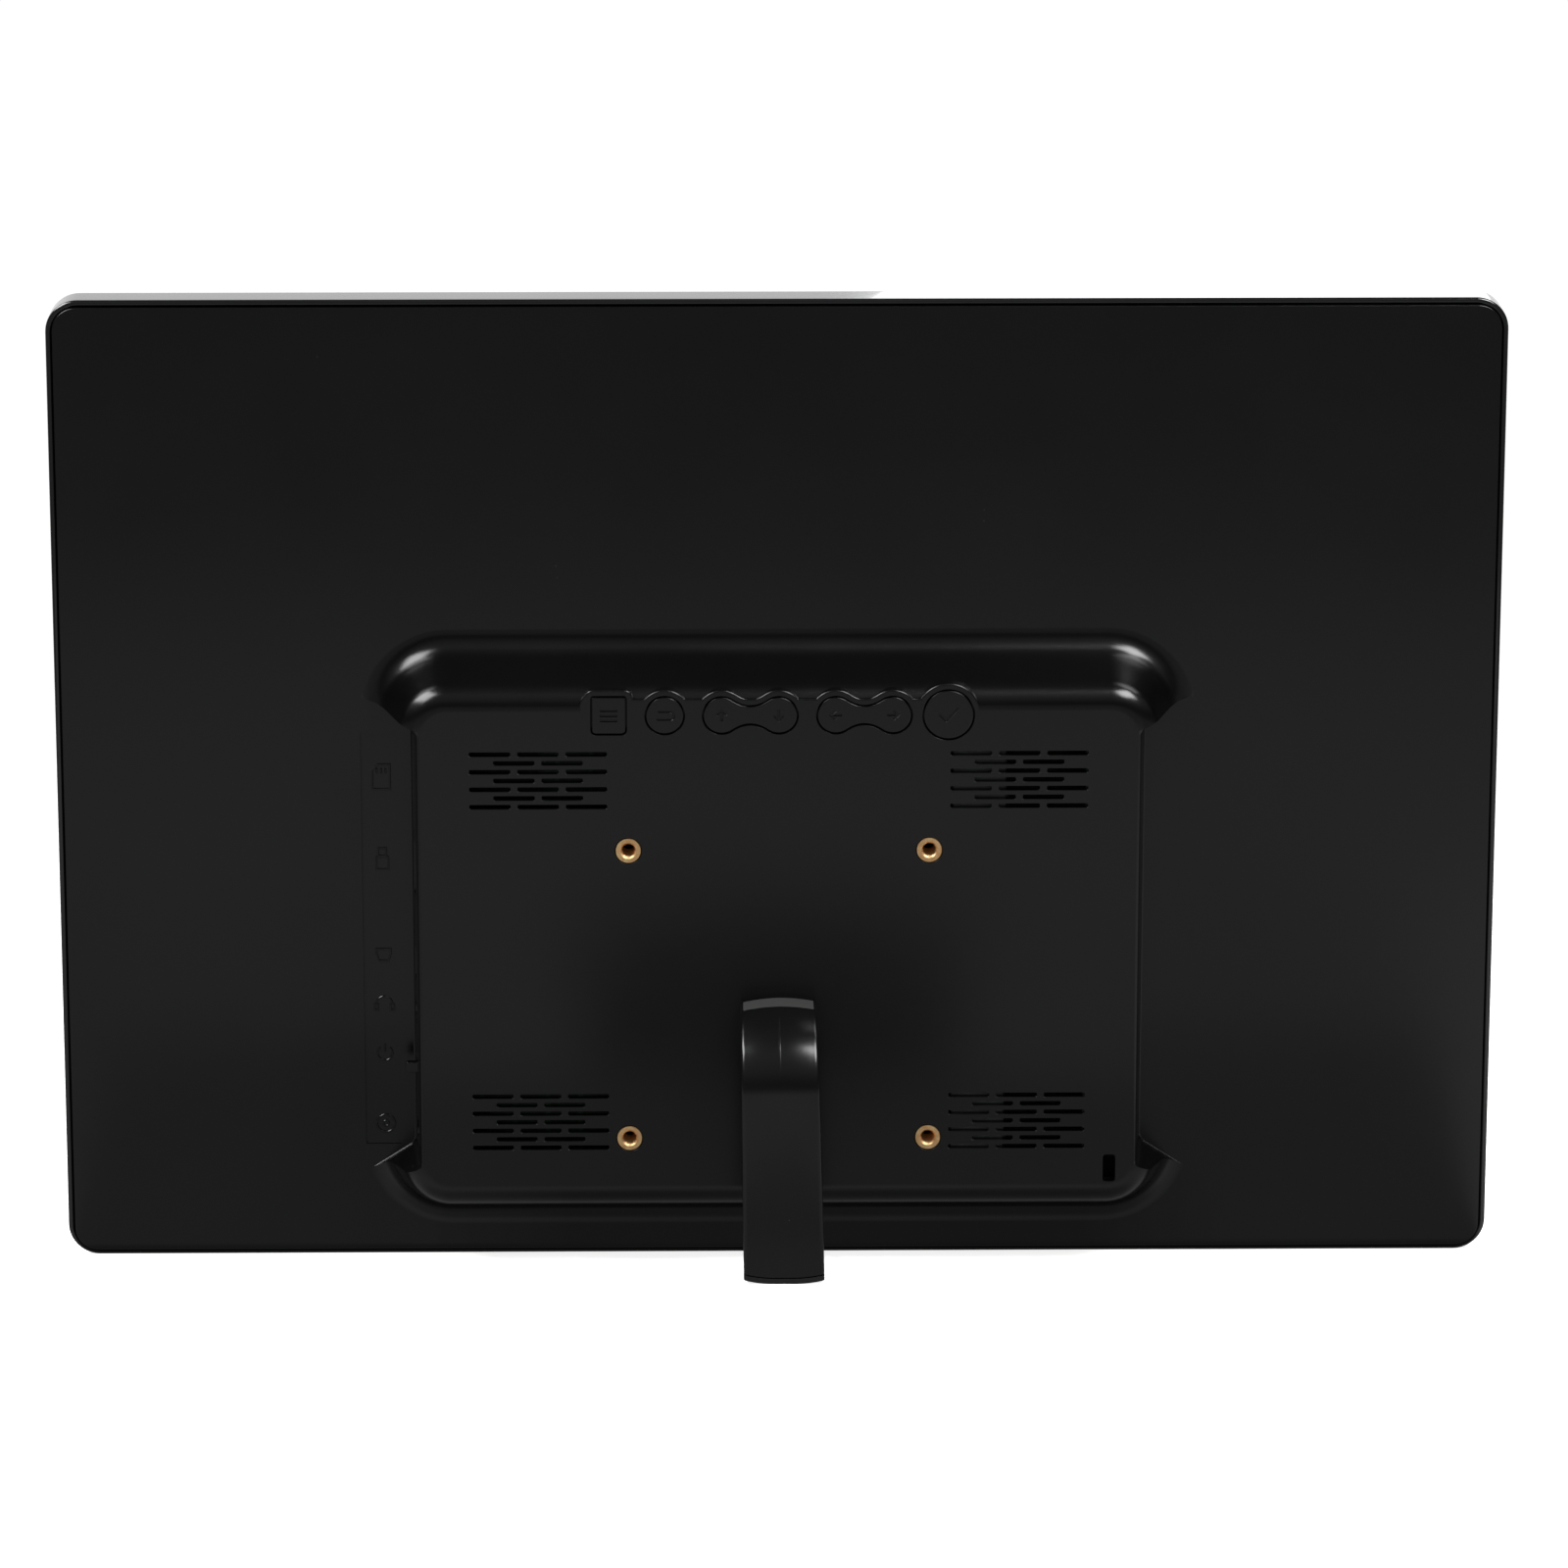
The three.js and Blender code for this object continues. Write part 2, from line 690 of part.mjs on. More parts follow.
function powerSwitchKnob() {
  const stem = block(
    83,
    94.1,
    SWITCH_DEPTH - 1,
    SWITCH_DEPTH + 1,
    SWITCH_UP - 1.35,
    SWITCH_UP + 1.35,
  );
  const collar = block(
    87,
    88.2,
    SWITCH_DEPTH - 1.9,
    SWITCH_DEPTH + 1.9,
    SWITCH_UP - 3,
    SWITCH_UP + 3,
  );
  return stem.add(collar);
}

const KEY_BOARD_FRONT = 9.4;
const KEY_BOARD_BACK = 11;
const PLUNGER_TOP = 15.5;

function tactSwitch(x) {
  const body = block(
    x - 3,
    x + 3,
    KEY_BOARD_BACK + SLIP_GAP,
    KEY_BOARD_BACK + 3.6,
    BUTTON_UP - 3,
    BUTTON_UP + 3,
  );
  return body.add(
    postAlongDepth(x, BUTTON_UP, 1.7, KEY_BOARD_BACK + 3, PLUNGER_TOP, 16),
  );
}

// ---- Speakers behind the vents ------------------------------------------------------------
const SPEAKER_X = -66.5;
function speakerFrame(up) {
  const basket = block(-78, -43.4, 7.5, 17.1, up - 9, up + 9);
  const bowl = block(SPEAKER_X - 10, SPEAKER_X + 10, 9, 18, up - 7.5, up + 7.5);
  const magnet = postAlongDepth(SPEAKER_X, up, 6.5, 5.6, 8, 20);
  return basket.subtract(bowl).add(magnet);
}

function speakerCone(up) {
  const outline = new THREE.Shape();
  outline.moveTo(SPEAKER_X + 9.6, up - 4);
  outline.lineTo(SPEAKER_X + 9.6, up + 4);
  outline.absarc(SPEAKER_X + 6.6, up + 4.1, 3, 0, Math.PI / 2);
  outline.absarc(SPEAKER_X - 6.6, up + 4.1, 3, Math.PI / 2, Math.PI);
  outline.absarc(SPEAKER_X - 6.6, up - 4.1, 3, Math.PI, 1.5 * Math.PI);
  outline.absarc(SPEAKER_X + 6.6, up - 4.1, 3, 1.5 * Math.PI, 2 * Math.PI);
  const sheet = slab(outline, 13, 13.8, 4);
  const cap = postAlongDepth(SPEAKER_X, up, 3.2, 11, 14.6, 16);
  return sheet.add(cap);
}

// ---- Stand --------------------------------------------------------------------------------
const LEAN = THREE.MathUtils.degToRad(LEAN_DEGREES);
const BEND_ANGLE = Math.PI / 2 - LEAN;
const ARM_START = HUMP_HEIGHT + SLIP_GAP;
const GROUND_CENTRE = -BEZEL_BACK;

// The lowest line of the leaning frame is the bezel's rear lower edge, at depth BEZEL_BACK.
const GROUND_HEIGHT = GROUND_CENTRE * Math.sin(LEAN);

// Depth and up of the arm's outer face, with the inward direction, along its length.
function armStation(distance) {
  const bendLength = ARM_BEND_RADIUS * BEND_ANGLE;
  if (distance <= ARM_STRAIGHT) {
    return { depth: ARM_START + distance, up: ARM_TOP_UP, turn: 0 };
  }
  const centreDepth = ARM_START + ARM_STRAIGHT;
  const centreUp = ARM_TOP_UP - ARM_BEND_RADIUS;
  const turn = Math.min((distance - ARM_STRAIGHT) / ARM_BEND_RADIUS, BEND_ANGLE);
  const beyond = Math.max(distance - ARM_STRAIGHT - bendLength, 0);
  return {
    depth: centreDepth + ARM_BEND_RADIUS * Math.sin(turn) + beyond * Math.cos(turn),
    up: centreUp + ARM_BEND_RADIUS * Math.cos(turn) - beyond * Math.sin(turn),
    turn,
  };
}

// One cross-section of the arm: a ridged outer face, rounded sides and a flat inner face.
function armSection(distance, thickness, ridge, halfWidth) {
  const station = armStation(distance);
  const soft = 1;
  const outline = [
    [0, ridge],
    [halfWidth - soft, 0],
    [halfWidth - 0.3, -0.3],
    [halfWidth, -soft],
    [halfWidth, soft - thickness],
    [halfWidth - soft, -thickness],
    [soft - halfWidth, -thickness],
    [-halfWidth, soft - thickness],
    [-halfWidth, -soft],
    [0.3 - halfWidth, -0.3],
    [soft - halfWidth, 0],
  ];
  return outline.map(([x, out]) => [
    x,
    station.depth + out * Math.sin(station.turn),
    station.up + out * Math.cos(station.turn),
  ]);
}

// Turned about the socket's axis by the small play of the plug-in fit.
function aboutHub(solid) {
  return solid
    .translate([0, 0, -HUB_UP])
    .rotate([0, STAND_TWIST_DEGREES, 0])
    .translate([0, 0, HUB_UP]);
}

function armBlank() {
  const rootThickness = ARM_TOP_UP - (HUB_UP - HUB_RADIUS - 0.7);
  const levels = [
    [0, rootThickness, ARM_RIDGE, ARM_HALF_WIDTH_AT_ROOT],
    [2, rootThickness - 2.5, ARM_RIDGE, ARM_HALF_WIDTH_AT_ROOT],
    [4.4, rootThickness - 6.5, ARM_RIDGE, ARM_HALF_WIDTH_AT_ROOT],
    [ARM_STRAIGHT, 11, ARM_RIDGE, ARM_HALF_WIDTH_AT_ROOT],
  ];
  const bendLength = ARM_BEND_RADIUS * BEND_ANGLE;
  const bendSteps = 9;
  for (let i = 1; i <= bendSteps; i += 1) {
    const share = i / bendSteps;
    levels.push([
      ARM_STRAIGHT + share * bendLength,
      THREE.MathUtils.lerp(11, 8.6, share),
      ARM_RIDGE * (1 - 0.3 * share),
      THREE.MathUtils.lerp(ARM_HALF_WIDTH_AT_ROOT, ARM_HALF_WIDTH_AT_BEND, share),
    ]);
  }
  const legStart = ARM_STRAIGHT + bendLength;
  levels.push([legStart + 24, 8, 0.25, ARM_HALF_WIDTH_AT_FOOT - 0.1]);
  levels.push([legStart + 56, 7.4, 0.05, ARM_HALF_WIDTH_AT_FOOT]);
  return aboutHub(skinThrough(levels.map((level) => armSection(...level))));
}

// Everything over a convex curve whose lowest line is a chosen height above the ground. It is
// made in the upright frame and turned back into the leaning one.
function overFootCurve(lift) {
  const halfFlat = 2.2;
  const steps = 8;
  const reach = 14;
  const outline = [[-reach, 90]];
  for (let i = -steps; i <= steps; i += 1) {
    const x = (reach * i) / steps;
    const outside = Math.max(Math.abs(x) - halfFlat, 0);
    const rise = FOOT_ARC_RADIUS - Math.sqrt(FOOT_ARC_RADIUS ** 2 - outside ** 2);
    outline.push([x, lift + rise]);
  }
  outline.push([reach, 90]);
  const shape = new THREE.Shape(outline.map(([x, z]) => new THREE.Vector2(x, z)));
  const prism = new THREE.ExtrudeGeometry(shape, { depth: 120, bevelEnabled: false });
  prism.rotateX(Math.PI / 2);
  prism.translate(FOOT_CENTRE_X, 100, GROUND_HEIGHT);
  prism.rotateX(LEAN);
  return toSolid(prism);
}

function standArm() {
  const arm = armBlank().intersect(overFootCurve(FOOT_PAD_HEIGHT + SLIP_GAP));
  return arm.subtract(postAlongDepth(0, HUB_UP, 2.2, ARM_START - 1, ARM_START + 5, 16));
}

function footPad() {
  const cut = overFootCurve(FOOT_PAD_HEIGHT);
  return armBlank().intersect(overFootCurve(0)).subtract(cut);
}

function standSpigot() {
  const plug = postAlongDepth(0, HUB_UP, HUB_RADIUS, 16.4, HUMP_HEIGHT, 32);
  return plug.subtract(postAlongDepth(0, HUB_UP, 2.2, 15, 21, 16));
}

function standWasher() {
  const disc = postAlongDepth(0, HUB_UP, HUB_RADIUS + 3, 14.9, 16.1, 32);
  return disc.subtract(postAlongDepth(0, HUB_UP, 2.2, 14, 18, 16));
}

function standScrew() {
  const head = postAlongDepth(0, HUB_UP, 3.6, 12.2, 14.6, 20);
  const shank = postAlongDepth(0, HUB_UP, 1.9, 14, ARM_START + 4.5, 16);
  const socket = postAlongDepth(0, HUB_UP, 1.5, 11, 13.6, 6);
  return head.add(shank).subtract(socket);
}

// ---- Assembly -----------------------------------------------------------------------------
const leaning = new THREE.Group();
leaning.rotation.x = -LEAN;

function place(name, solid, look, parent = leaning) {
  const mesh = new THREE.Mesh(toGeometry(solid), look);
  mesh.name = name;
  parent.add(mesh);
}

const display = new THREE.Group();
const electronics = new THREE.Group();
const keys = new THREE.Group();
const stand = new THREE.Group();
leaning.add(display, electronics, keys, stand);

place("rear_cover", rearCover(), SATIN_BLACK);
place("front_bezel", frontBezel(), GLOSS_BLACK);

place("lcd_cell", screenBlock(168.2, 106.4, -12.7, -11.3), SCREEN_GLASS, display);
place("light_guide", screenBlock(168.2, 105, -11, -8.6), ACRYLIC, display);
const stripLow = SCREEN_CENTRE_UP - 107.4;
place("led_strip", block(-160, 160, -11, -8.6, stripLow, stripLow + 2), RIBBON, display);
place("lcd_tray", lcdTray(), STEEL, display);
TRAY_SCREWS.forEach(([x, up], i) => {
  const screw = screwAt(x, up, TRAY_BACK + SLIP_GAP, 2.4, 1, 4.4);
  place(`tray_screw_${i + 1}`, screw, STEEL, display);
});

place("main_board", mainBoard(), BOARD_GREEN, electronics);
STANDOFFS.forEach(([x, up], i) => {
  const screw = screwAt(x, up, BOARD_BACK + SLIP_GAP, 2.4, 1, 5.6);
  place(`board_screw_${i + 1}`, screw, STEEL, electronics);
});
const chips = {
  processor_chip: [6, 24, 82, 100, 1.6],
  memory_chip: [28, 40, 84, 98, 1.2],
  flash_chip: [8, 20, 60, 76, 1.2],
  power_inductor: [46, 54, 46, 54, 4],
};
for (const [name, [x0, x1, up0, up1, height]] of Object.entries(chips)) {
  const chip = block(x0, x1, ON_BOARD, ON_BOARD + height, up0, up1);
  place(name, chip, CHIP_BLACK, electronics);
}
place("card_socket", cardSocket(), CHIP_BLACK, electronics);
place("usb_socket", usbSocket(), SOCKET_METAL, electronics);
place("mini_usb_socket", miniUsbSocket(), SOCKET_METAL, electronics);
place("headphone_jack", headphoneJack(), CHIP_BLACK, electronics);
place("power_socket", powerSocket(), CHIP_BLACK, electronics);
place("power_switch_body", powerSwitchBody(), SOCKET_METAL, electronics);
place("power_switch_knob", powerSwitchKnob(), KEY_BLACK, electronics);

const displayCable = union(
  block(-36, -35.4, -5, 5.3, 80, 96),
  block(-36, -26, ON_BOARD, 5.4, 80, 96),
  block(-50, -35.4, -5, -4.4, 80, 96),
);
place("display_cable", displayCable, RIBBON, electronics);
const keyCable = union(
  block(20, 30, 6, 6.5, 130, 143),
  block(20, 30, 6, 8.9, 142.5, 143),
  block(20, 30, ON_BOARD, 6.5, 130, 130.5),
);
place("key_cable", keyCable, RIBBON, electronics);

place(
  "key_board",
  block(-52, 64, KEY_BOARD_FRONT, KEY_BOARD_BACK, 141.4, 153),
  BOARD_GREEN,
  keys,
);
const switchPlaces = {
  menu_switch: MENU_X,
  back_switch: BACK_X,
  up_switch: BUTTON_PITCH,
  down_switch: 0,
  left_switch: -BUTTON_PITCH,
  right_switch: -2 * BUTTON_PITCH,
  ok_switch: OK_X,
};
for (const [name, x] of Object.entries(switchPlaces)) {
  place(name, tactSwitch(x), CHIP_BLACK, keys);
}
for (const name of Object.keys(KEY_OUTLINES)) {
  place(name, keyCap(name), KEY_BLACK, keys);
}

INSERT_PLACES.forEach(([x, up], i) => {
  const ring = postAlongDepth(x, up, INSERT_RADIUS, HUMP_HEIGHT - INSERT_LENGTH, HUMP_HEIGHT);
  const bore = postAlongDepth(x, up, INSERT_BORE_RADIUS, 5, 25);
  place(`vesa_insert_${i + 1}`, ring.subtract(bore), BRASS);
});
const lockPlate = block(-87, -79.8, 14.8, 16, 23.6, 34.4).subtract(
  block(
    LOCK_X - LOCK_WIDTH / 2 - SLIP_GAP,
    LOCK_X + LOCK_WIDTH / 2 + SLIP_GAP,
    14,
    18,
    LOCK_UP - LOCK_LENGTH / 2 - SLIP_GAP,
    LOCK_UP + LOCK_LENGTH / 2 + SLIP_GAP,
  ),
);
place("lock_plate", lockPlate, STEEL);
VENT_UPS.forEach((up, i) => {
  const where = i === 0 ? "upper" : "lower";
  place(`speaker_frame_${where}`, speakerFrame(up), FRAME_GREY, electronics);
  place(`speaker_cone_${where}`, speakerCone(up), CONE_PAPER, electronics);
});

place("stand_arm", standArm(), STAND_BLACK, stand);
place("stand_spigot", standSpigot(), STEEL, stand);
place("stand_washer", standWasher(), STEEL, stand);
place("stand_screw", standScrew(), STEEL, stand);
place("stand_foot_pad", footPad(), RUBBER, stand);

// The origin is the middle of the overall box's lower face.
const group = new THREE.Group();
group.add(leaning);
const bounds = new THREE.Box3().setFromObject(group, true);
leaning.position.y = -(bounds.min.y + bounds.max.y) / 2;
leaning.position.z = -bounds.min.z;
leaning.position.x = -(bounds.min.x + bounds.max.x) / 2;

export default group;
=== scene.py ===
"""Looks for a 15.4 inch digital photo frame seen from the back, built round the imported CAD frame."""

import json
from math import cos, pi, radians, sin, sqrt, tan

import bmesh
import bpy
from mathutils import Matrix, Vector

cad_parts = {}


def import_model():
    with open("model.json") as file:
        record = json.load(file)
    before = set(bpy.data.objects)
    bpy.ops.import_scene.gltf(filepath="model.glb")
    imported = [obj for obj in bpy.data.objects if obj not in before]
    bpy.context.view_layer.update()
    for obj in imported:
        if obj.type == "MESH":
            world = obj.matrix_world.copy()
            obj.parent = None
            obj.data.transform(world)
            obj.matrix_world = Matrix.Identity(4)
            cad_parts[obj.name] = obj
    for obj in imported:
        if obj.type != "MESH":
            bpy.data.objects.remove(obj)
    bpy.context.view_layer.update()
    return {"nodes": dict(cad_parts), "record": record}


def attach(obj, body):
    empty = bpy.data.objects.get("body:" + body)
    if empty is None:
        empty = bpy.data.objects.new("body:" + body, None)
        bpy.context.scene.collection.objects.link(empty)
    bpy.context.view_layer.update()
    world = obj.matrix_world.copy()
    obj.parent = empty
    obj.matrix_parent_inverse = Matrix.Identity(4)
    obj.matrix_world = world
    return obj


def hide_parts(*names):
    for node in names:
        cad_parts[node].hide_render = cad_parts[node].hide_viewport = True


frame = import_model()

# ---- The leaning frame ----
# Pieces are drawn in millimetres as (across, depth, up), then leaned. Depth 0 is the flat back
# and grows away from the screen; up 0 is the frame's lower edge.
LEAN = radians(10.3)
COS, SIN = cos(LEAN), sin(LEAN)
# Where the stand's hub stands on the housing's plate, and how deep that plate lies.
HUB_UP = 64.3
PLATE = 19.5
# The outline of the whole frame.
FRAME_HALF, FRAME_HIGH = 181, 248
JOINTS = {joint["name"]: joint for joint in frame["record"]["behaviour"]["joints"]}
HUB = [1000 * v for v in JOINTS["stand_turn"]["pos_m"]]
SHIFT_Y = HUB[1] - (PLATE * COS + HUB_UP * SIN)
SHIFT_Z = HUB[2] - (HUB_UP * COS - PLATE * SIN)
MM = 0.001
LEANING = Matrix(
    (
        (MM, 0, 0, 0),
        (0, MM * COS, MM * SIN, MM * SHIFT_Y),
        (0, -MM * SIN, MM * COS, MM * SHIFT_Z),
        (0, 0, 0, 1),
    )
)

# ---- Mesh tools ----


def new_object(name, data):
    """An object in the scene."""
    item = bpy.data.objects.new(name, data)
    bpy.context.scene.collection.objects.link(item)
    return item


def volume_of(verts, faces):
    """The enclosed volume, negative where the faces point inwards."""
    total = 0.0
    for face in faces:
        a = Vector(verts[face[0]])
        for i in range(1, len(face) - 1):
            total += a.dot(Vector(verts[face[i]]).cross(Vector(verts[face[i + 1]])))
    return total / 6


def solid(verts, faces):
    """A mesh whose faces point outwards."""
    if volume_of(verts, faces) < 0:
        faces = [tuple(reversed(face)) for face in faces]
    mesh = bpy.data.meshes.new("solid")
    mesh.from_pydata([tuple(v) for v in verts], [], [tuple(f) for f in faces])
    mesh.update()
    return mesh


def skin(rings):
    """A closed solid through rings with the same number of points."""
    count = len(rings[0])
    verts = [point for ring in rings for point in ring]
    faces = []
    for level in range(len(rings) - 1):
        for i in range(count):
            a = level * count + i
            b = level * count + (i + 1) % count
            faces.append((a, b, b + count, a + count))
    last = (len(rings) - 1) * count
    faces.append(tuple(range(count - 1, -1, -1)))
    faces.append(tuple(range(last, last + count)))
    return solid(verts, faces)


def round_corners(corners, steps):
    """Points round four corners (across, up, radius), from the upper one on the +X side."""
    points = []
    for quarter, (x, up, radius) in enumerate(corners):
        for step in range(steps + 1):
            angle = (quarter + step / steps) * pi / 2
            points.append((x + radius * cos(angle), up + radius * sin(angle)))
    return points


def rectangle(half, low, high, radius, steps=14):
    """Points of a rounded rectangle in across and up."""
    x, top, bottom = half - radius, high - radius, low + radius
    corners = ((x, top, radius), (-x, top, radius), (-x, bottom, radius), (x, bottom, radius))
    return round_corners(corners, steps)


def stack(half, low, high, levels, steps=14):
    """Rounded rectangles along depth: each level is (inset, depth, corner radius)."""
    rings = []
    for inset, depth, radius in levels:
        outline = rectangle(half - inset, low + inset, high - inset, radius, steps)
        rings.append([(x, depth, up) for x, up in outline])
    return skin(rings)


def box(x0, x1, d0, d1, u0, u1):
    """A block between two values of across, depth and up."""
    rings = [[(x0, d, u0), (x1, d, u0), (x1, d, u1), (x0, d, u1)] for d in (d0, d1)]
    return skin(rings)


def circle(x, up, radius, sides=48):
    """Points of a circle in across and up."""
    turn = 2 * pi / sides
    return [(x + radius * cos(i * turn), up + radius * sin(i * turn)) for i in range(sides)]


def post(x, up, levels, sides=48):
    """A round body along depth: each level is (radius, depth)."""
    return skin([[(px, d, pu) for px, pu in circle(x, up, r, sides)] for r, d in levels])


def post_across(depth, up, levels, sides=40):
    """A round body along across: each level is (radius, across)."""
    return skin([[(x, pd, pu) for pd, pu in circle(depth, up, r, sides)] for r, x in levels])


LONGEST_MITRE = 0.5


def grow(points, amount):
    """A closed outline moved outwards by an amount, corner by corner."""
    count = len(points)
    area = sum(
        points[i][0] * points[(i + 1) % count][1] - points[(i + 1) % count][0] * points[i][1]
        for i in range(count)
    )
    sign = 1 if area > 0 else -1
    moved = []
    for i in range(count):
        here = Vector(points[i])
        into = (here - Vector(points[i - 1])).normalized()
        away = (Vector(points[(i + 1) % count]) - here).normalized()
        side_in = Vector((into.y, -into.x)) * sign
        side_out = Vector((away.y, -away.x)) * sign
        mid = (side_in + side_out).normalized()
        reach = amount / max(mid.dot(side_in), LONGEST_MITRE)
        moved.append(tuple(here + mid * reach))
    return moved


def slab(outline, levels):
    """An outline stacked along depth: each level is (growth, depth)."""
    return skin([[(x, depth, up) for x, up in grow(outline, g)] for g, depth in levels])


def join(meshes):
    """Several separate solids as one mesh."""
    bm = bmesh.new()
    for mesh in meshes:
        bm.from_mesh(mesh)
        bpy.data.meshes.remove(mesh)
    merged = bpy.data.meshes.new("joined")
    bm.to_mesh(merged)
    bm.free()
    return merged


def combine(base, tool, operation):
    """One boolean between two solids, made at once."""
    first, second = new_object("first", base), new_object("second", tool)
    modifier = first.modifiers.new("cut", "BOOLEAN")
    modifier.object = second
    modifier.operation = operation
    modifier.solver = "MANIFOLD"
    graph = bpy.context.evaluated_depsgraph_get()
    made = bpy.data.meshes.new_from_object(first.evaluated_get(graph))
    for item, data in ((first, base), (second, tool)):
        bpy.data.objects.remove(item)
        bpy.data.meshes.remove(data)
    if not made.polygons:
        raise RuntimeError("a boolean left nothing: " + operation)
    return made


def cut(base, *tools):
    """The base without the tools."""
    for tool in tools:
        base = combine(base, tool, "DIFFERENCE")
    return base


def add(base, *tools):
    """The base and the tools as one solid."""
    for tool in tools:
        base = combine(base, tool, "UNION")
    return base


def quarter_round(radius, steps=5):
    """(sideways, below) pairs down a rounded edge, from its start on the side to the top."""
    pairs = []
    for i in range(steps + 1):
        angle = pi / 2 * i / steps
        pairs.append((radius * (1 - cos(angle)), radius * (1 - sin(angle))))
    return pairs


WELD = 1e-4


def piece(name, mesh, body, material, nodes=(), sharp=28.0):
    """A finished piece: leaned into place, smooth between its sharp edges, riding on its body."""
    bm = bmesh.new()
    bm.from_mesh(mesh)
    bmesh.ops.remove_doubles(bm, verts=bm.verts, dist=WELD)
    bmesh.ops.dissolve_degenerate(bm, dist=WELD, edges=bm.edges)
    bm.transform(LEANING)
    limit = radians(sharp)
    for face in bm.faces:
        face.smooth = True
    for edge in bm.edges:
        edge.smooth = len(edge.link_faces) == 2 and edge.calc_face_angle(0.0) < limit
    bm.to_mesh(mesh)
    bm.free()
    mesh.name = name
    mesh.materials.clear()
    mesh.materials.append(material)
    item = new_object(name, mesh)
    weighted = item.modifiers.new("even_normals", "WEIGHTED_NORMAL")
    weighted.keep_sharp = True
    weighted.weight = 100
    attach(item, body)
    if nodes:
        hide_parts(*nodes)
    return item


# ---- Materials ----
# Most of a noise texture's values lie between these; the narrow pair gives firmer patches.
NOISE_SPAN = (0.3, 0.7)
NARROW_SPAN = (0.35, 0.65)
# Sockets of a Mix node that blends colours.
MIX_A, MIX_B, MIX_OUT = 6, 7, 2


class Look:
    """A principled material with texture nodes placed by short calls."""

    def __init__(self, name, **values):
        self.material = bpy.data.materials.new(name)
        self.material.use_nodes = True
        self.nodes = self.material.node_tree.nodes
        self.links = self.material.node_tree.links
        self.shader = self.nodes["Principled BSDF"]
        for socket, value in values.items():
            self.shader.inputs[socket.replace("_", " ")].default_value = value
        self.place = self.nodes.new("ShaderNodeTexCoord").outputs["Object"]

    def node(self, kind, inputs=None, **settings):
        made = self.nodes.new("ShaderNode" + kind)
        for key, value in settings.items():
            setattr(made, key, value)
        for key, value in (inputs or {}).items():
            if isinstance(value, bpy.types.NodeSocket):
                self.links.new(value, made.inputs[key])
            else:
                made.inputs[key].default_value = value
        return made

    def noise(self, scale, detail=3.0, roughness=0.5, vector=None):
        inputs = {"Vector": vector or self.place, "Scale": scale, "Detail": detail}
        return self.node("TexNoise", inputs | {"Roughness": roughness}).outputs["Fac"]

    def cells(self, scale):
        inputs = {"Vector": self.place, "Scale": scale}
        return self.node("TexVoronoi", inputs).outputs["Distance"]

    def stretch(self, scale):
        inputs = {"Vector": self.place, "Scale": scale}
        return self.node("Mapping", inputs).outputs["Vector"]

    def spread(self, value, low_in, high_in, low_out, high_out):
        inputs = {"Value": value, "From Min": low_in, "From Max": high_in}
        inputs |= {"To Min": low_out, "To Max": high_out}
        return self.node("MapRange", inputs).outputs["Result"]

    def maths(self, operation, a, b):
        return self.node("Math", {0: a, 1: b}, operation=operation).outputs[0]

    def blend(self, factor, a, b):
        made = self.node("Mix", data_type="RGBA")
        self.links.new(factor, made.inputs["Factor"])
        for index, colour in ((MIX_A, a), (MIX_B, b)):
            if isinstance(colour, bpy.types.NodeSocket):
                self.links.new(colour, made.inputs[index])
            else:
                made.inputs[index].default_value = (*colour, 1)
        return made.outputs[MIX_OUT]

    def set(self, socket, value):
        self.links.new(value, self.shader.inputs[socket])

    def tint(self, value, span, dark, light):
        self.set("Base Color", self.blend(self.spread(value, *span, 0.0, 1.0), dark, light))

    def rough(self, value, low, high):
        self.set("Roughness", self.spread(value, *NOISE_SPAN, low, high))

    def bump(self, height, strength, distance):
        inputs = {"Height": height, "Strength": strength, "Distance": distance}
        self.set("Normal", self.node("Bump", inputs).outputs["Normal"])


DUST = (0.09, 0.09, 0.088)
GRAIN_SCALE, GRAIN_DEPTH = 3600.0, 0.00003


def satin_plastic(name, dark, light, low_rough, high_rough, grain):
    """Moulded black plastic: fine spark grain, cloudy sheen and a few pale specks of dust."""
    look = Look(name)
    base = look.blend(look.spread(look.noise(9.0, 4.0, 0.55), *NARROW_SPAN, 0.0, 1.0), dark, light)
    specks = look.spread(look.cells(330.0), 0.0, 0.05, 1.0, 0.0)
    few = look.spread(look.noise(47.0, 1.0), 0.68, 0.72, 0.0, 1.0)
    look.set("Base Color", look.blend(look.maths("MULTIPLY", specks, few), base, DUST))
    look.rough(look.noise(23.0, 5.0, 0.6), low_rough, high_rough)
    look.bump(look.noise(GRAIN_SCALE, 2.0, 0.6), grain, GRAIN_DEPTH)
    return look.material


BLACK, SOFT_BLACK = (0.0018, 0.0018, 0.002), (0.0027, 0.0027, 0.003)
STAND_BLACK, STAND_GREY = (0.0036, 0.0036, 0.004), (0.005, 0.005, 0.0054)
# The third pair of greys is a painted highlight: a much lighter colour for the arm's level top, standing
# in for the light that strip catches.
TOP_HIGHLIGHT_GREY, TOP_HIGHLIGHT_PALE = (0.034, 0.034, 0.034), (0.048, 0.048, 0.047)
COVER = satin_plastic("satin_black_plastic", BLACK, SOFT_BLACK, 0.2, 0.25, 0.35)
KEY = satin_plastic("key_black_plastic", BLACK, SOFT_BLACK, 0.2, 0.25, 0.25)
STAND = satin_plastic("stand_black_plastic", STAND_BLACK, STAND_GREY, 0.19, 0.24, 0.12)
# A lighter copy of the stand's plastic that paints a highlight on the arm's level top.
TOP_HIGHLIGHT = satin_plastic("painted_highlight_black_plastic", TOP_HIGHLIGHT_GREY, TOP_HIGHLIGHT_PALE, 0.5, 0.62, 0.3)


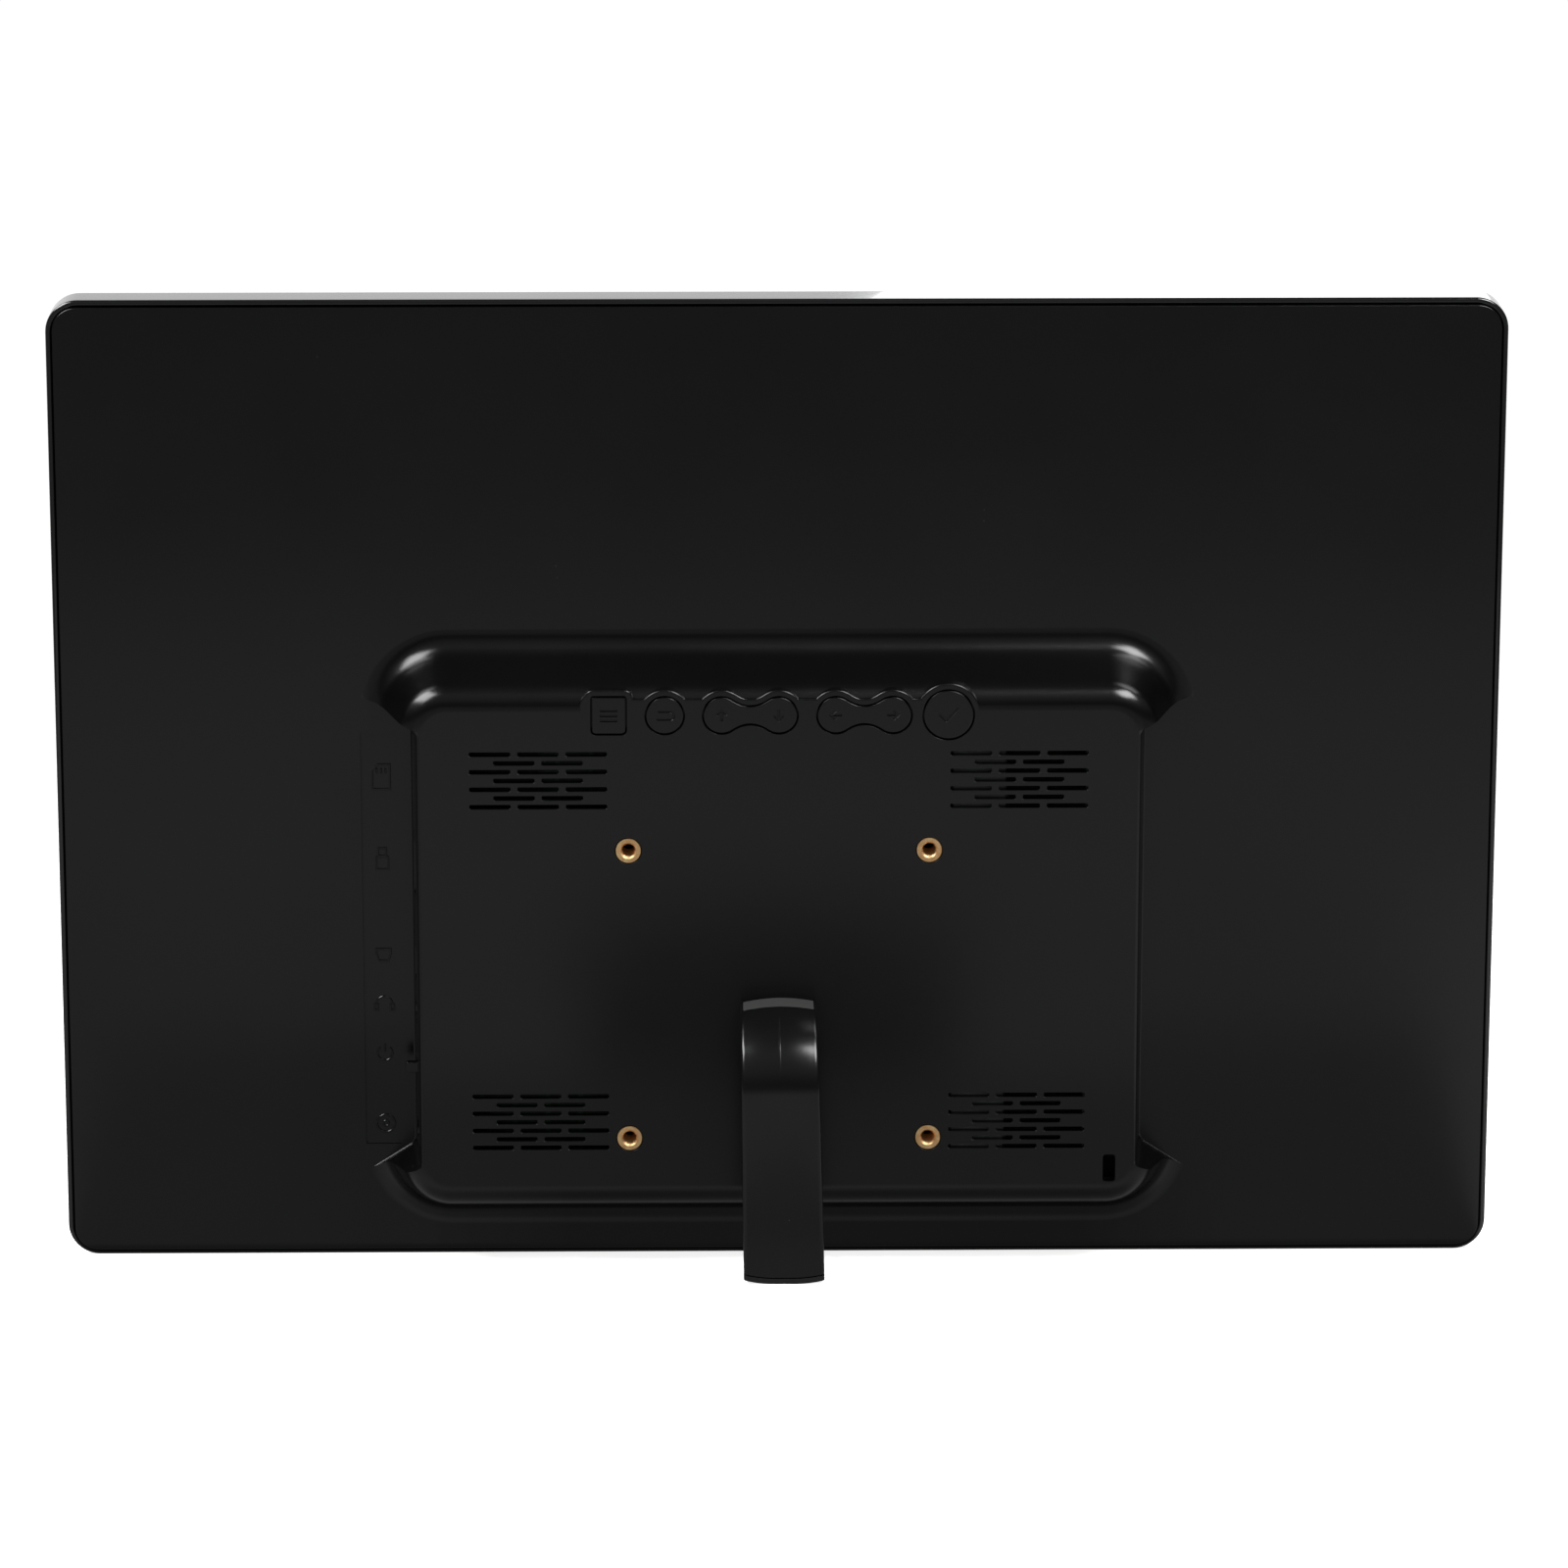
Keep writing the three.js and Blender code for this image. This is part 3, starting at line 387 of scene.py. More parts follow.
def gloss_plastic():
    """Polished black plastic under a clear coat, with a faint unevenness."""
    look = Look("gloss_black_plastic", IOR=1.5, Coat_Weight=0.6, Coat_Roughness=0.04)
    look.tint(look.noise(14.0), NARROW_SPAN, (0.006, 0.006, 0.0066), (0.009, 0.009, 0.0096))
    look.rough(look.noise(60.0, 6.0, 0.65), 0.09, 0.16)
    look.bump(look.noise(420.0, 2.0), 0.05, 0.00002)
    return look.material


def rubber():
    """Dull black rubber with a coarse grain."""
    look = Look("foot_rubber", Specular_IOR_Level=0.35)
    look.tint(look.noise(180.0, 4.0), NOISE_SPAN, (0.006, 0.006, 0.006), (0.013, 0.013, 0.013))
    look.rough(look.noise(700.0), 0.65, 0.85)
    look.bump(look.noise(2600.0), 0.5, 0.00008)
    return look.material


def metal(name, dark, light, low_rough, high_rough, lines=(1, 1, 1)):
    """Plated sheet metal with rolling marks along one way and cloudy patches."""
    look = Look(name, Metallic=1.0)
    streak = look.noise(900.0, 4.0, 0.6, vector=look.stretch(lines))
    look.tint(look.maths("ADD", streak, look.noise(70.0)), (0.75, 1.25), dark, light)
    look.rough(streak, low_rough, high_rough)
    look.bump(streak, 0.12, 0.00004)
    return look.material


def matt(name, dark, light, low_rough, high_rough, scale, strength=0.2, distance=0.00005, **values):
    """A dull surface: patches of tone, finer patches of sheen, and a grain finer still."""
    look = Look(name, **values)
    look.tint(look.noise(scale, 4.0, 0.55), NOISE_SPAN, dark, light)
    look.rough(look.noise(scale * 2.3), low_rough, high_rough)
    look.bump(look.noise(scale * 5.0), strength, distance)
    return look.material


def circuit_board():
    """Green solder mask over faint copper tracks, with small pale pads."""
    look = Look("circuit_board_green", Coat_Weight=0.3, Coat_Roughness=0.25)
    run = look.stretch((1.0, 0.2, 0.35))
    bricks = {"Vector": run, "Scale": 60.0, "Mortar Size": 0.035}
    track = look.node("TexBrick", bricks, offset=0.37).outputs["Fac"]
    mask = look.blend(look.noise(90.0), (0.008, 0.045, 0.018), (0.014, 0.07, 0.028))
    lines = look.blend(track, mask, (0.03, 0.13, 0.05))
    dots = look.spread(look.cells(420.0), 0.08, 0.1, 1.0, 0.0)
    few = look.spread(look.noise(40.0, 1.0), 0.58, 0.6, 0.0, 1.0)
    pads = look.maths("MULTIPLY", dots, few)
    look.set("Base Color", look.blend(pads, lines, (0.5, 0.46, 0.36)))
    look.rough(look.noise(200.0), 0.35, 0.5)
    look.bump(track, 0.2, 0.00004)
    return look.material


def screen_glass():
    """A switched-off panel: near black with a faint cool cast, under a low-glare film."""
    look = Look("screen_glass_dark", IOR=1.5, Coat_Weight=0.4, Coat_Roughness=0.12)
    tone = look.noise(5.0, 2.0)
    look.set("Base Color", look.blend(tone, (0.004, 0.0045, 0.006), (0.0065, 0.0072, 0.009)))
    look.rough(look.noise(900.0, 2.0), 0.14, 0.2)
    look.bump(look.noise(5200.0, 2.0), 0.06, 0.00001)
    return look.material


def brass():
    """Turned brass: a fine uneven cut, a little darker where oxide has started."""
    look = Look("turned_brass", Metallic=1.0)
    look.tint(look.noise(700.0, 4.0, 0.6), NARROW_SPAN, (0.88, 0.50, 0.22), (1.0, 0.72, 0.38))
    cut_marks = look.noise(2400.0, 2.0)
    look.rough(cut_marks, 0.42, 0.55)
    look.bump(cut_marks, 0.3, 0.00003)
    return look.material


GLOSS = gloss_plastic()
RUBBER = rubber()
BRASS = brass()
ZINC = (0.33, 0.34, 0.35), (0.55, 0.56, 0.57)
TIN = (0.5, 0.51, 0.52), (0.72, 0.73, 0.74)
CHIP = (0.008, 0.008, 0.009), (0.02, 0.02, 0.021)
GREY = (0.2, 0.205, 0.21), (0.3, 0.31, 0.32)
PAPER = (0.014, 0.013, 0.011), (0.04, 0.037, 0.032)
AMBER = (0.42, 0.25, 0.05), (0.62, 0.4, 0.1)
FROST = (0.72, 0.76, 0.78), (0.85, 0.88, 0.9)
MATERIALS = {
    "steel": metal("zinc_plated_steel", *ZINC, 0.28, 0.42, (1, 1, 12)),
    "socket_metal": metal("tin_plated_shell", *TIN, 0.2, 0.34, (9, 1, 1)),
    "circuit_board": circuit_board(),
    "chip_black": matt("moulded_chip_black", *CHIP, 0.5, 0.68, 500.0),
    "speaker_grey": matt("speaker_grey_plastic", *GREY, 0.45, 0.6, 260.0),
    "cone_paper": matt("speaker_cone_paper", *PAPER, 0.8, 0.95, 900.0, 0.6, 0.0001),
    "ribbon": matt("ribbon_cable_film", *AMBER, 0.3, 0.42, 220.0, 0.15),
    "clear_acrylic": matt("light_guide_acrylic", *FROST, 0.12, 0.2, 120.0, 0.05, IOR=1.49),
    "screen_glass": screen_glass(),
    "brass": BRASS,
    "satin_black": COVER,
    "gloss_black": GLOSS,
    "key_black": KEY,
    "stand_black": STAND,
    "pad_rubber": RUBBER,
}
for part in frame["record"]["subparts"]:
    node = frame["nodes"][part["node"]]
    node.data.materials.clear()
    node.data.materials.append(MATERIALS[part["material_slot"]])

# ---- Key outlines ----
BUTTON_UP = 147.1
PITCH = 14.15
MENU_X, BACK_X, OK_X = 42.2, 28.3, -42.1
BACK_RADIUS, OK_RADIUS = 4.8, 6.3
# A rocker's round ends, the angle at which its neck leaves them, and how far the neck draws in.
LOBE, LEAVE, NECK = 4.7, radians(52), 1.0
LOBE_STEPS, NECK_STEPS = 28, 12


def rocker(centre):
    """Two round ends joined by a waisted neck."""
    points = []
    right, left = centre + PITCH / 2, centre - PITCH / 2

    def arc(x, start, end):
        for i in range(LOBE_STEPS + 1):
            angle = start + (end - start) * i / LOBE_STEPS
            points.append((x + LOBE * cos(angle), BUTTON_UP + LOBE * sin(angle)))

    def bridge(start, side, end):
        waist = BUTTON_UP + side * NECK
        for i in range(1, NECK_STEPS):
            t = i / NECK_STEPS
            x = (1 - t) ** 2 * start[0] + 2 * t * (1 - t) * centre + t**2 * end[0]
            up = (1 - t) ** 2 * start[1] + 2 * t * (1 - t) * waist + t**2 * end[1]
            points.append((x, up))

    arc(right, LEAVE - pi, pi - LEAVE)
    bridge(points[-1], 1, (left + LOBE * cos(LEAVE), BUTTON_UP + LOBE * sin(LEAVE)))
    arc(left, LEAVE, 2 * pi - LEAVE)
    bridge(points[-1], -1, points[0])
    return points


def menu_square():
    """The square key, with small upper and larger lower corners."""
    half, tall = 4.31, 4.82
    corners = [
        (MENU_X + side * (half - radius), BUTTON_UP + level * (tall - radius), radius)
        for side, level, radius in ((1, 1, 0.5), (-1, 1, 0.5), (-1, -1, 1.2), (1, -1, 1.2))
    ]
    return round_corners(corners, 6)


KEYS = {
    "menu_button": menu_square(),
    "back_button": circle(BACK_X, BUTTON_UP, BACK_RADIUS, 64),
    "up_down_rocker": rocker(PITCH / 2),
    "left_right_rocker": rocker(-1.5 * PITCH),
    "ok_button": circle(OK_X, BUTTON_UP, OK_RADIUS, 72),
}

# ---- Rear cover ----
# How deep the floor of the marked strip lies.
FLOOR = -0.3
# The housing's foot, the slope of its sides, and the radii of its root and its edge.
HALF, LOW, HIGH, CORNER = 105.0, 8.5, 164.6, 22.5
SLOPE = radians(71)
ROOT, EDGE = 7.0, 6.8


def side_profile(steps=12):
    """(inset, depth) of the housing's side, from the flat back up to its flat plate."""
    points = []
    for i in range(steps + 1):
        angle = SLOPE * i / steps
        points.append((ROOT * sin(angle), ROOT * (1 - cos(angle))))
    rise = PLATE - (ROOT + EDGE) * (1 - cos(SLOPE))
    run = (ROOT + EDGE) * sin(SLOPE) + rise / tan(SLOPE)
    for i in range(steps + 1):
        angle = SLOPE * (1 - i / steps)
        points.append((run - EDGE * sin(angle), PLATE - EDGE * (1 - cos(angle))))
    return points


# The wedge beside the housing: its inner wall at the flat back and at the plate, its two ends, how
# they run out sideways, and its inner corners.
WALL_FOOT, WALL_PLATE, WEDGE_OUT = 91.9, 90.0, 125.0
WEDGE_LOW, WEDGE_HIGH, WEDGE_SPREAD = 30.8, 141.6, 1.2
LOW_RUN, HIGH_RUN = 0.64, 0.48
WEDGE_SOFT = [
    (1.2 * (1 - sin(angle)), 1.2 * (1 - cos(angle))) for angle in (0.0, 0.4, 0.8, 1.2, pi / 2)
]


def notch(side, margin, floor, rounded):
    """The wedge of space beside the housing where the sockets open."""
    depths = [floor]
    round_top, round_foot = 1.1, 0.5
    if rounded:
        depths += [0.0]
        depths += [round_foot * (1 - cos(pi / 2 * i / 5)) for i in range(1, 6)]
        depths += [PLATE - below for _, below in quarter_round(round_top, 6)]
    depths.append(PLATE + 5)
    rings = []
    for depth in depths:
        share = min(depth / PLATE, 1.2)
        out = 0.0
        if rounded and depth < round_foot:
            gap = round_foot - max(depth, 0.0)
            out = -(round_foot - sqrt(max(round_foot**2 - gap**2, 0)))
        if rounded and depth > PLATE - round_top:
            gap = min(depth - (PLATE - round_top), round_top)
            out = round_top - sqrt(max(round_top**2 - gap**2, 0))
        wall = WALL_FOOT + (WALL_PLATE - WALL_FOOT) * share - margin - out
        low = WEDGE_LOW - margin - share * WEDGE_SPREAD - out * 0.3
        high = WEDGE_HIGH + margin + share * WEDGE_SPREAD + out * 0.3
        reach = WEDGE_OUT - wall
        ring = [(WEDGE_OUT, low - LOW_RUN * reach)]
        ring += [(wall + far, low + near - LOW_RUN * far) for far, near in WEDGE_SOFT]
        ring += [(wall + near, high - far + HIGH_RUN * near) for far, near in WEDGE_SOFT]
        ring.append((WEDGE_OUT, high + HIGH_RUN * reach))
        rings.append([(side * x, depth, up) for x, up in ring])
    return skin(rings)


VENT_X, VENT_UPS = 59.8, (130.5, 41.7)
SLOT_LENGTH, SLOT_WIDTH, SLOT_CORNER = 10.2, 1.1, 0.3
SLOT_PITCH, ROW_PITCH = 12, 2.25
# How a slot widens towards the face of the plate.
SLOT_LIP = ((0, 16.5), (0, PLATE - 0.12), (0.05, PLATE - 0.04), (0.14, PLATE + 0.01), (0.14, PLATE + 1))


def vent_slot(x, up):
    half, tall = SLOT_LENGTH / 2, SLOT_WIDTH / 2
    rings = []
    for flare, depth in SLOT_LIP:
        outline = rectangle(half + flare, up - tall - flare, up + tall + flare, SLOT_CORNER, 3)
        rings.append([(x + px, depth, pu) for px, pu in outline])
    return skin(rings)


def vent_slots():
    """Four groups of seven rows, with two and three slots in turn."""
    slots = []
    for side in (-1, 1):
        for centre in VENT_UPS:
            for row in range(-3, 4):
                count = 2 if row % 2 == 0 else 3
                for i in range(count):
                    x = side * VENT_X + (i - (count - 1) / 2) * SLOT_PITCH
                    slots.append(vent_slot(x, centre + row * ROW_PITCH))
    return join(slots)


# Square mouths: (up, half height, depth, half width). Round mouths: (up, radius, depth).
CARD = (126.5, 12.6, 6.1, 1.3)
USB = (105.0, 6.7, 8.2, 3.1)
MINI_USB = (80.0, 3.9, 6.9, 2.0)
HEADPHONE = (67.0, 2.6, 7.4)
POWER_IN = (35.4, 3.6, 9.3)
# The switch's mouth, as its depths and its ups, and the span across that every mouth is cut through.
SWITCH_MOUTH = (6.7, 9.3, 51.3, 56.7)
THROUGH = (84, 99)
PLUG_ROOM = 0.4


def port_holes():
    tools = []
    for up, half_up, depth, half_depth in (CARD, USB, MINI_USB):
        sides = (depth - half_depth, depth + half_depth, up - half_up, up + half_up)
        tools.append(box(*THROUGH, *sides))
    for up, radius, depth in (HEADPHONE, POWER_IN):
        tools.append(post_across(depth, up, [(radius + PLUG_ROOM, x) for x in THROUGH]))
    tools.append(box(*THROUGH, *SWITCH_MOUTH))
    return join(tools)


# The square of inserts: half its side, and its centre's height.
INSERT_HALF, INSERT_UP = 37.5, 74.9
INSERTS = [
    (side * INSERT_HALF, INSERT_UP + level * INSERT_HALF) for side in (1, -1) for level in (1, -1)
]
# The shelf round the keys: how far it stands out of their outlines at its top and further down,
# as (growth, depth), and the radius of its edge.
SHELF_TOP, SHELF_ROUND = 1.7, 0.42
SHELF_SIDE = ((2.2, 8), (SHELF_TOP, PLATE - 0.45))
# The inside of the housing: (inset, depth, corner radius).
HOLLOW = (
    *((8.5, -3, 14), (8.5, 4.07, 14), (12, 14.27, 10.5)),
    *((13.2, 16.09, 9.3), (14.9, 17.2, 7.6), (16.56, 17.5, 6)),
)
BOSS_FACE = 18.5
LOCK_X, LOCK_UP = -83.3, 29.0


def rear_cover():
    """Flat back with a tongue inside the bezel, the housing with its hollow, and all openings."""
    rim = [(inset, -below, 6 - inset) for inset, below in quarter_round(0.25, 4)]
    plate = stack(179.25, 1.75, 246.25, [(0, -3, 6)] + rim)
    inside = (FRAME_HALF - 1, 1, FRAME_HIGH - 1)
    underside = stack(*inside, [(3.2, -4, 4), (3.2, -2, 4)])
    tongue = stack(*inside, [(1.3, -7, 5.7), (1.3, -2.8, 5.7)])
    tongue = cut(tongue, stack(*inside, [(3.2, -8, 4), (3.2, -2.5, 4)]))
    shell = add(cut(plate, underside), tongue)

    levels = [(0, -1, CORNER)]
    levels += [(inset, depth, CORNER - inset) for inset, depth in side_profile()]
    hump = stack(HALF, LOW, HIGH, levels, 22)
    between = rectangle(MENU_X, BUTTON_UP - 3, BUTTON_UP + 2.5, 0.6, 4)
    beside = [(x + 44.3, up) for x, up in rectangle(3.4, BUTTON_UP - 3, BUTTON_UP + 3.9, 1.2, 6)]
    for outline in (between, beside, *KEYS.values()):
        rounded = quarter_round(SHELF_ROUND, 5)[1:]
        lip = [(SHELF_TOP - sideways, PLATE - below) for sideways, below in rounded]
        hump = add(hump, slab(outline, [*SHELF_SIDE, *lip]))
    hollow = stack(HALF, LOW, HIGH, HOLLOW)
    for outline in KEYS.values():
        hollow = add(hollow, slab(outline, [(0.95, 12), (0.95, 17.5)]))
    for side in (1, -1):
        hump = cut(hump, notch(side, 0, -0.6, True))
        hollow = cut(hollow, notch(side, 2, -4, False))
    shell = cut(add(shell, hump), hollow)

    holes = []
    for x, up in INSERTS:
        shell = add(shell, post(x, up, [(5, 11), (5, BOSS_FACE)], 32))
        bore = [(3.3, 10), (3.3, PLATE - 0.15), (3.42, PLATE + 0.01), (3.42, 21)]
        holes.append(post(x, up, bore))
    shell = add(shell, post(0, HUB_UP, [(11.5, 17), (11.5, BOSS_FACE)]))
    holes.append(post(0, HUB_UP, [(9.2, 15), (9.2, 22)]))
    lock = [(x + LOCK_X, up + LOCK_UP) for x, up in rectangle(1.5, -3.5, 3.5, 0.6, 5)]
    lock_lip = [(0, PLATE - 0.2), (0.07, PLATE - 0.07), (0.2, PLATE + 0.01)]
    holes.append(slab(lock, [(0, 15), *lock_lip, (0.2, 21)]))
    key_lip = [(0.2, PLATE - 0.14), (0.24, PLATE - 0.04), (0.32, PLATE + 0.01)]
    for outline in KEYS.values():
        holes.append(slab(outline, [(0.2, 12), *key_lip, (0.32, 22)]))
    # The shallow strip that carries the pictures, and a finer groove along its outer edge.
    strip = box(95.7, 104.7, FLOOR, 1, 30, 138)
    moat = box(104.2, 104.75, -0.62, -0.2, 30.4, 137.6)
    return cut(shell, strip, moat, join(holes), vent_slots(), port_holes())


piece("back_cover_shell", rear_cover(), "housing", COVER, ["rear_cover"])

# ---- Keys ----


def stroke(points, width, closed=False):
    """An outline that follows a line with an even width."""
    left, right = [], []
    count = len(points)
    for i, here in enumerate(points):
        here = Vector(here)
        before = Vector(points[i - 1]) if i or closed else None
        after = Vector(points[(i + 1) % count]) if i + 1 < count or closed else None
        into = (here - before).normalized() if before is not None else (after - here).normalized()
        away = (after - here).normalized() if after is not None else into
        mid = (Vector((-into.y, into.x)) + Vector((-away.y, away.x))).normalized()
        reach = width / 2 / max(mid.dot(Vector((-into.y, into.x))), 0.6)
        left.append(tuple(here + mid * reach))
        right.append(tuple(here - mid * reach))
    return left, right


def bar(points, width, base, height):
    """A raised line."""
    left, right = stroke(points, width)
    outline = left + right[::-1]
    return slab(outline, [(0.03, base), (0, height - 0.11), (-0.1, height)])


def groove(points, width, face, deep):
    """The tool for an engraved line with slightly eased lips."""
    left, right = stroke(points, width)
    outline = left + right[::-1]
    sides = [(-0.04, face - deep), (0, face - deep + 0.05), (0, face - 0.05)]
    return slab(outline, [*sides, (0.05, face + 0.01), (0.05, face + 1)])


def loop(points, width, base, height):
    """A raised closed line, as a ring with a hole."""
    inner, outer = sorted(stroke(points, width, True), key=max)
    ring = slab(outer, [(0, base), (0, height - 0.1), (-0.1, height)])
    return cut(ring, slab(inner, [(0, base - 1), (0, height - 0.1), (0.1, height), (0.1, height + 1)]))


def shifted(points, x, up, turn=0.0):
    """Points turned about their origin, then moved."""
    c, s = cos(turn), sin(turn)
    return [(x + (c * a - s * b), up + (s * a + c * b)) for a, b in points]


ARROW_HEAD = [(-1.1, 0.15), (0, 1.35), (1.1, 0.15)]
ARROW_STEM = [(0, 1.1), (0, -1.4)]
ARROW_WIDTH, RETURN_WIDTH, BAR_WIDTH = 0.5, 0.55, 0.6


def arrow(x, turn):
    return [(shifted(line, x, BUTTON_UP, turn), ARROW_WIDTH) for line in (ARROW_HEAD, ARROW_STEM)]


def half_turn(x):
    """A returning line: two level strokes joined by a bend."""
    angles = (-1.57, -1.05, -0.52, 0, 0.52, 1.05, 1.57)
    bend = [(-1.3 - cos(angle), -sin(angle)) for angle in angles]
    line = [(1.6, 1.0), *bend, (1.9, -1.0)]
    return [(shifted(line, x, BUTTON_UP), RETURN_WIDTH)]


def three_bars(x):
    return [([(x - 2.1, BUTTON_UP + up), (x + 2.1, BUTTON_UP + up)], BAR_WIDTH) for up in (1.3, 0, -1.3)]


def tick(x):
    corners = [(x + 2.2, BUTTON_UP + 0.1), (x + 0.6, BUTTON_UP - 1.5), (x - 2.3, BUTTON_UP + 1.7)]
    return [(corners, BAR_WIDTH)]


# Seen from behind, across runs the other way, so pictures are drawn with their left towards +X.
MARKS = {
    "menu_button": three_bars(MENU_X),
    "back_button": half_turn(BACK_X),
    "up_down_rocker": arrow(PITCH, 0) + arrow(0, pi),
    "left_right_rocker": arrow(-PITCH, -pi / 2) + arrow(-2 * PITCH, pi / 2),
    "ok_button": tick(OK_X),
}

# How far a cap stands in from its outline, where its face lies, and how deep its mark is cut.
CAP_IN, CAP_FACE, MARK_DEEP = -0.15, PLATE - 0.05, 0.5


def key_cap(name):
    """A cap with a flange behind the cover, a rounded edge and an engraved mark."""
    outline = KEYS[name]
    levels = [(0.6, 16.1), (0.65, 16.2), (0.65, 16.75), (0.6, 16.8), (CAP_IN, 16.85)]
    levels += [(CAP_IN - sideways, CAP_FACE - below) for sideways, below in quarter_round(0.3, 5)]
    cap = slab(outline, levels)
    for line, width in MARKS[name]:
        cap = cut(cap, groove(line, width, CAP_FACE, MARK_DEEP))
    return cap


for key in KEYS:
    cap_name = key.replace("button", "key_cap").replace("rocker", "rocker_cap")
    piece(cap_name, key_cap(key), key.rsplit("_", 1)[0] + "_key", KEY, [key])

# ---- Marks beside the sockets ----
MARK_X = 99.6
MARK_WIDTH, MARK_TOP = 0.44, 0.0
SWITCH_UP = 54.0


def ring_line(x, up, radius, start=0.0, end=2 * pi, steps=20):
    """Points along a circle or, with both ends, along an arc."""
    whole = end - start >= 6.28
    angles = [start + (end - start) * i / steps for i in range(steps if whole else steps + 1)]
    return [(x + radius * cos(angle), up + radius * sin(angle)) for angle in angles]


def port_marks():
    """Pictures only: a card, a plug, a small plug, headphones, a switch and a round supply plug."""
    lines, loops = [], []
    card = [(-2.2, -3.2), (2.2, -3.2), (2.2, 1.8), (0.8, 3.2), (-2.2, 3.2)]
    loops.append(shifted(card, MARK_X, CARD[0]))
    for i in (-1, 0, 1):
        lines.append(shifted([(i * 1.1, 0.9), (i * 1.1, 2.2)], MARK_X, CARD[0]))
    loops.append(shifted([(-1.5, -2.6), (1.5, -2.6), (1.5, 0.6), (-1.5, 0.6)], MARK_X, USB[0]))
    loops.append(shifted([(-1.0, 0.9), (1.0, 0.9), (1.0, 2.9), (-1.0, 2.9)], MARK_X, USB[0]))
    small_plug = [(-1.2, -1.6), (1.2, -1.6), (1.8, 0.3), (1.8, 1.5), (-1.8, 1.5), (-1.8, 0.3)]
    loops.append(shifted(small_plug, MARK_X, MINI_USB[0]))
    lines.append(ring_line(MARK_X, HEADPHONE[0], 2.0, 0.0, pi, 14))
    for side in (-1, 1):
        left, right = side * 2.0 - 0.45, side * 2.0 + 0.45
        cup = [(left, -1.6), (right, -1.6), (right, -0.1), (left, -0.1)]
        loops.append(shifted(cup, MARK_X, HEADPHONE[0]))
    lines.append(ring_line(MARK_X, SWITCH_UP, 1.9, 2.2, 7.2, 16))
    lines.append([(MARK_X, SWITCH_UP + 0.4), (MARK_X, SWITCH_UP + 2.4)])
    loops.append(ring_line(MARK_X, POWER_IN[0], 2.3))
    loops.append(ring_line(MARK_X, POWER_IN[0], 0.7, steps=12))
    shapes = [bar(line, MARK_WIDTH, FLOOR - 0.05, MARK_TOP) for line in lines]
    shapes += [loop(line, MARK_WIDTH, FLOOR - 0.05, MARK_TOP) for line in loops]
    return join(shapes)


piece("socket_pictures", port_marks(), "housing", COVER)

# ---- Bezel ----
BEZEL_FRONT, BEZEL_BACK = -15.0, -0.8
BEZEL_CORNER, FRONT_ROUND, BACK_ROUND = 8, 4.5, 0.8
# The lower side stands this much in, so that the leaning frame rests on the table.
BEZEL_LOW = 0.36
WINDOW = (166.2, 19.9, 228.1)
WINDOW_ROUND, WINDOW_CORNER = 1.2, 0.5
POST_X, POST_UPS = 174.2, (62, 186)


def bezel():
    """A glossy shell with a rounded front, a window and four screw posts."""
    frame_box = (FRAME_HALF, 0, FRAME_HIGH)
    levels = [
        (inset, BEZEL_FRONT + below, BEZEL_CORNER - 0.95 * inset)
        for inset, below in reversed(quarter_round(FRONT_ROUND, 8))
    ]
    for inset, below in quarter_round(BACK_ROUND, 5):
        levels.append((inset, BEZEL_BACK - below, BEZEL_CORNER - inset))
    outer = stack(FRAME_HALF, BEZEL_LOW, FRAME_HIGH, levels, 16)
    lip = [(1.5, -0.6), (1.42, -0.3), (1.2, -0.08), (0.95, 0.02)]
    lip = [(inset, BEZEL_BACK + beyond, BEZEL_CORNER - inset) for inset, beyond in lip]
    inner = stack(*frame_box, [(1.5, -11.5, 6.5), *lip])
    inner_front = stack(*frame_box, [(4.5, -13, 4), (4.5, BEZEL_BACK, 4)])
    window = [(-WINDOW_ROUND, BEZEL_FRONT - ahead, 1.4) for ahead in (0.5, 0.01)]
    for sideways, below in reversed(quarter_round(WINDOW_ROUND, 6)):
        window.append((-sideways, BEZEL_FRONT + below, WINDOW_CORNER + sideways))
    window.append((0, -2.3, WINDOW_CORNER))
    shell = cut(outer, inner, inner_front, stack(*WINDOW, window, 6))
    for x in (POST_X, -POST_X):
        for up in POST_UPS:
            shell = add(shell, post(x, up, [(3, -14), (3, -8.6)], 24))
            shell = cut(shell, post(x, up, [(1.25, -12.9), (1.25, -8)], 24))
    return shell


piece("bezel_shell", bezel(), "housing", GLOSS, ["front_bezel"])

# ---- Stand ----
# The arm's outer face leaves the plate level, runs straight, bends and then drops to the table.
ARM_START = PLATE + 0.3
ARM_TOP = 73.3
ARM_STRAIGHT = 6.7
BEND = 20.0
BEND_ANGLE = pi / 2 - LEAN
BEND_LENGTH = BEND * BEND_ANGLE
LEG = ARM_STRAIGHT + BEND_LENGTH
LEG_LENGTH = 56
# The table below the pivot of the lean, the slight turn of the arm, and its foot's shift.
GROUND = 3.3 * SIN
TWIST = radians(1.0)
FOOT_X = -0.95
FOOT_RADIUS = 34


def station(distance):
    """Depth and up of the outer face, and how far it has turned, along the arm."""
    if distance <= ARM_STRAIGHT:
        return ARM_START + distance, ARM_TOP, 0.0
    turn = min((distance - ARM_STRAIGHT) / BEND, BEND_ANGLE)
    beyond = max(distance - ARM_STRAIGHT - BEND * BEND_ANGLE, 0.0)
    depth = ARM_START + ARM_STRAIGHT + BEND * sin(turn) + beyond * cos(turn)
    up = ARM_TOP - BEND + BEND * cos(turn) - beyond * sin(turn)
    return depth, up, turn


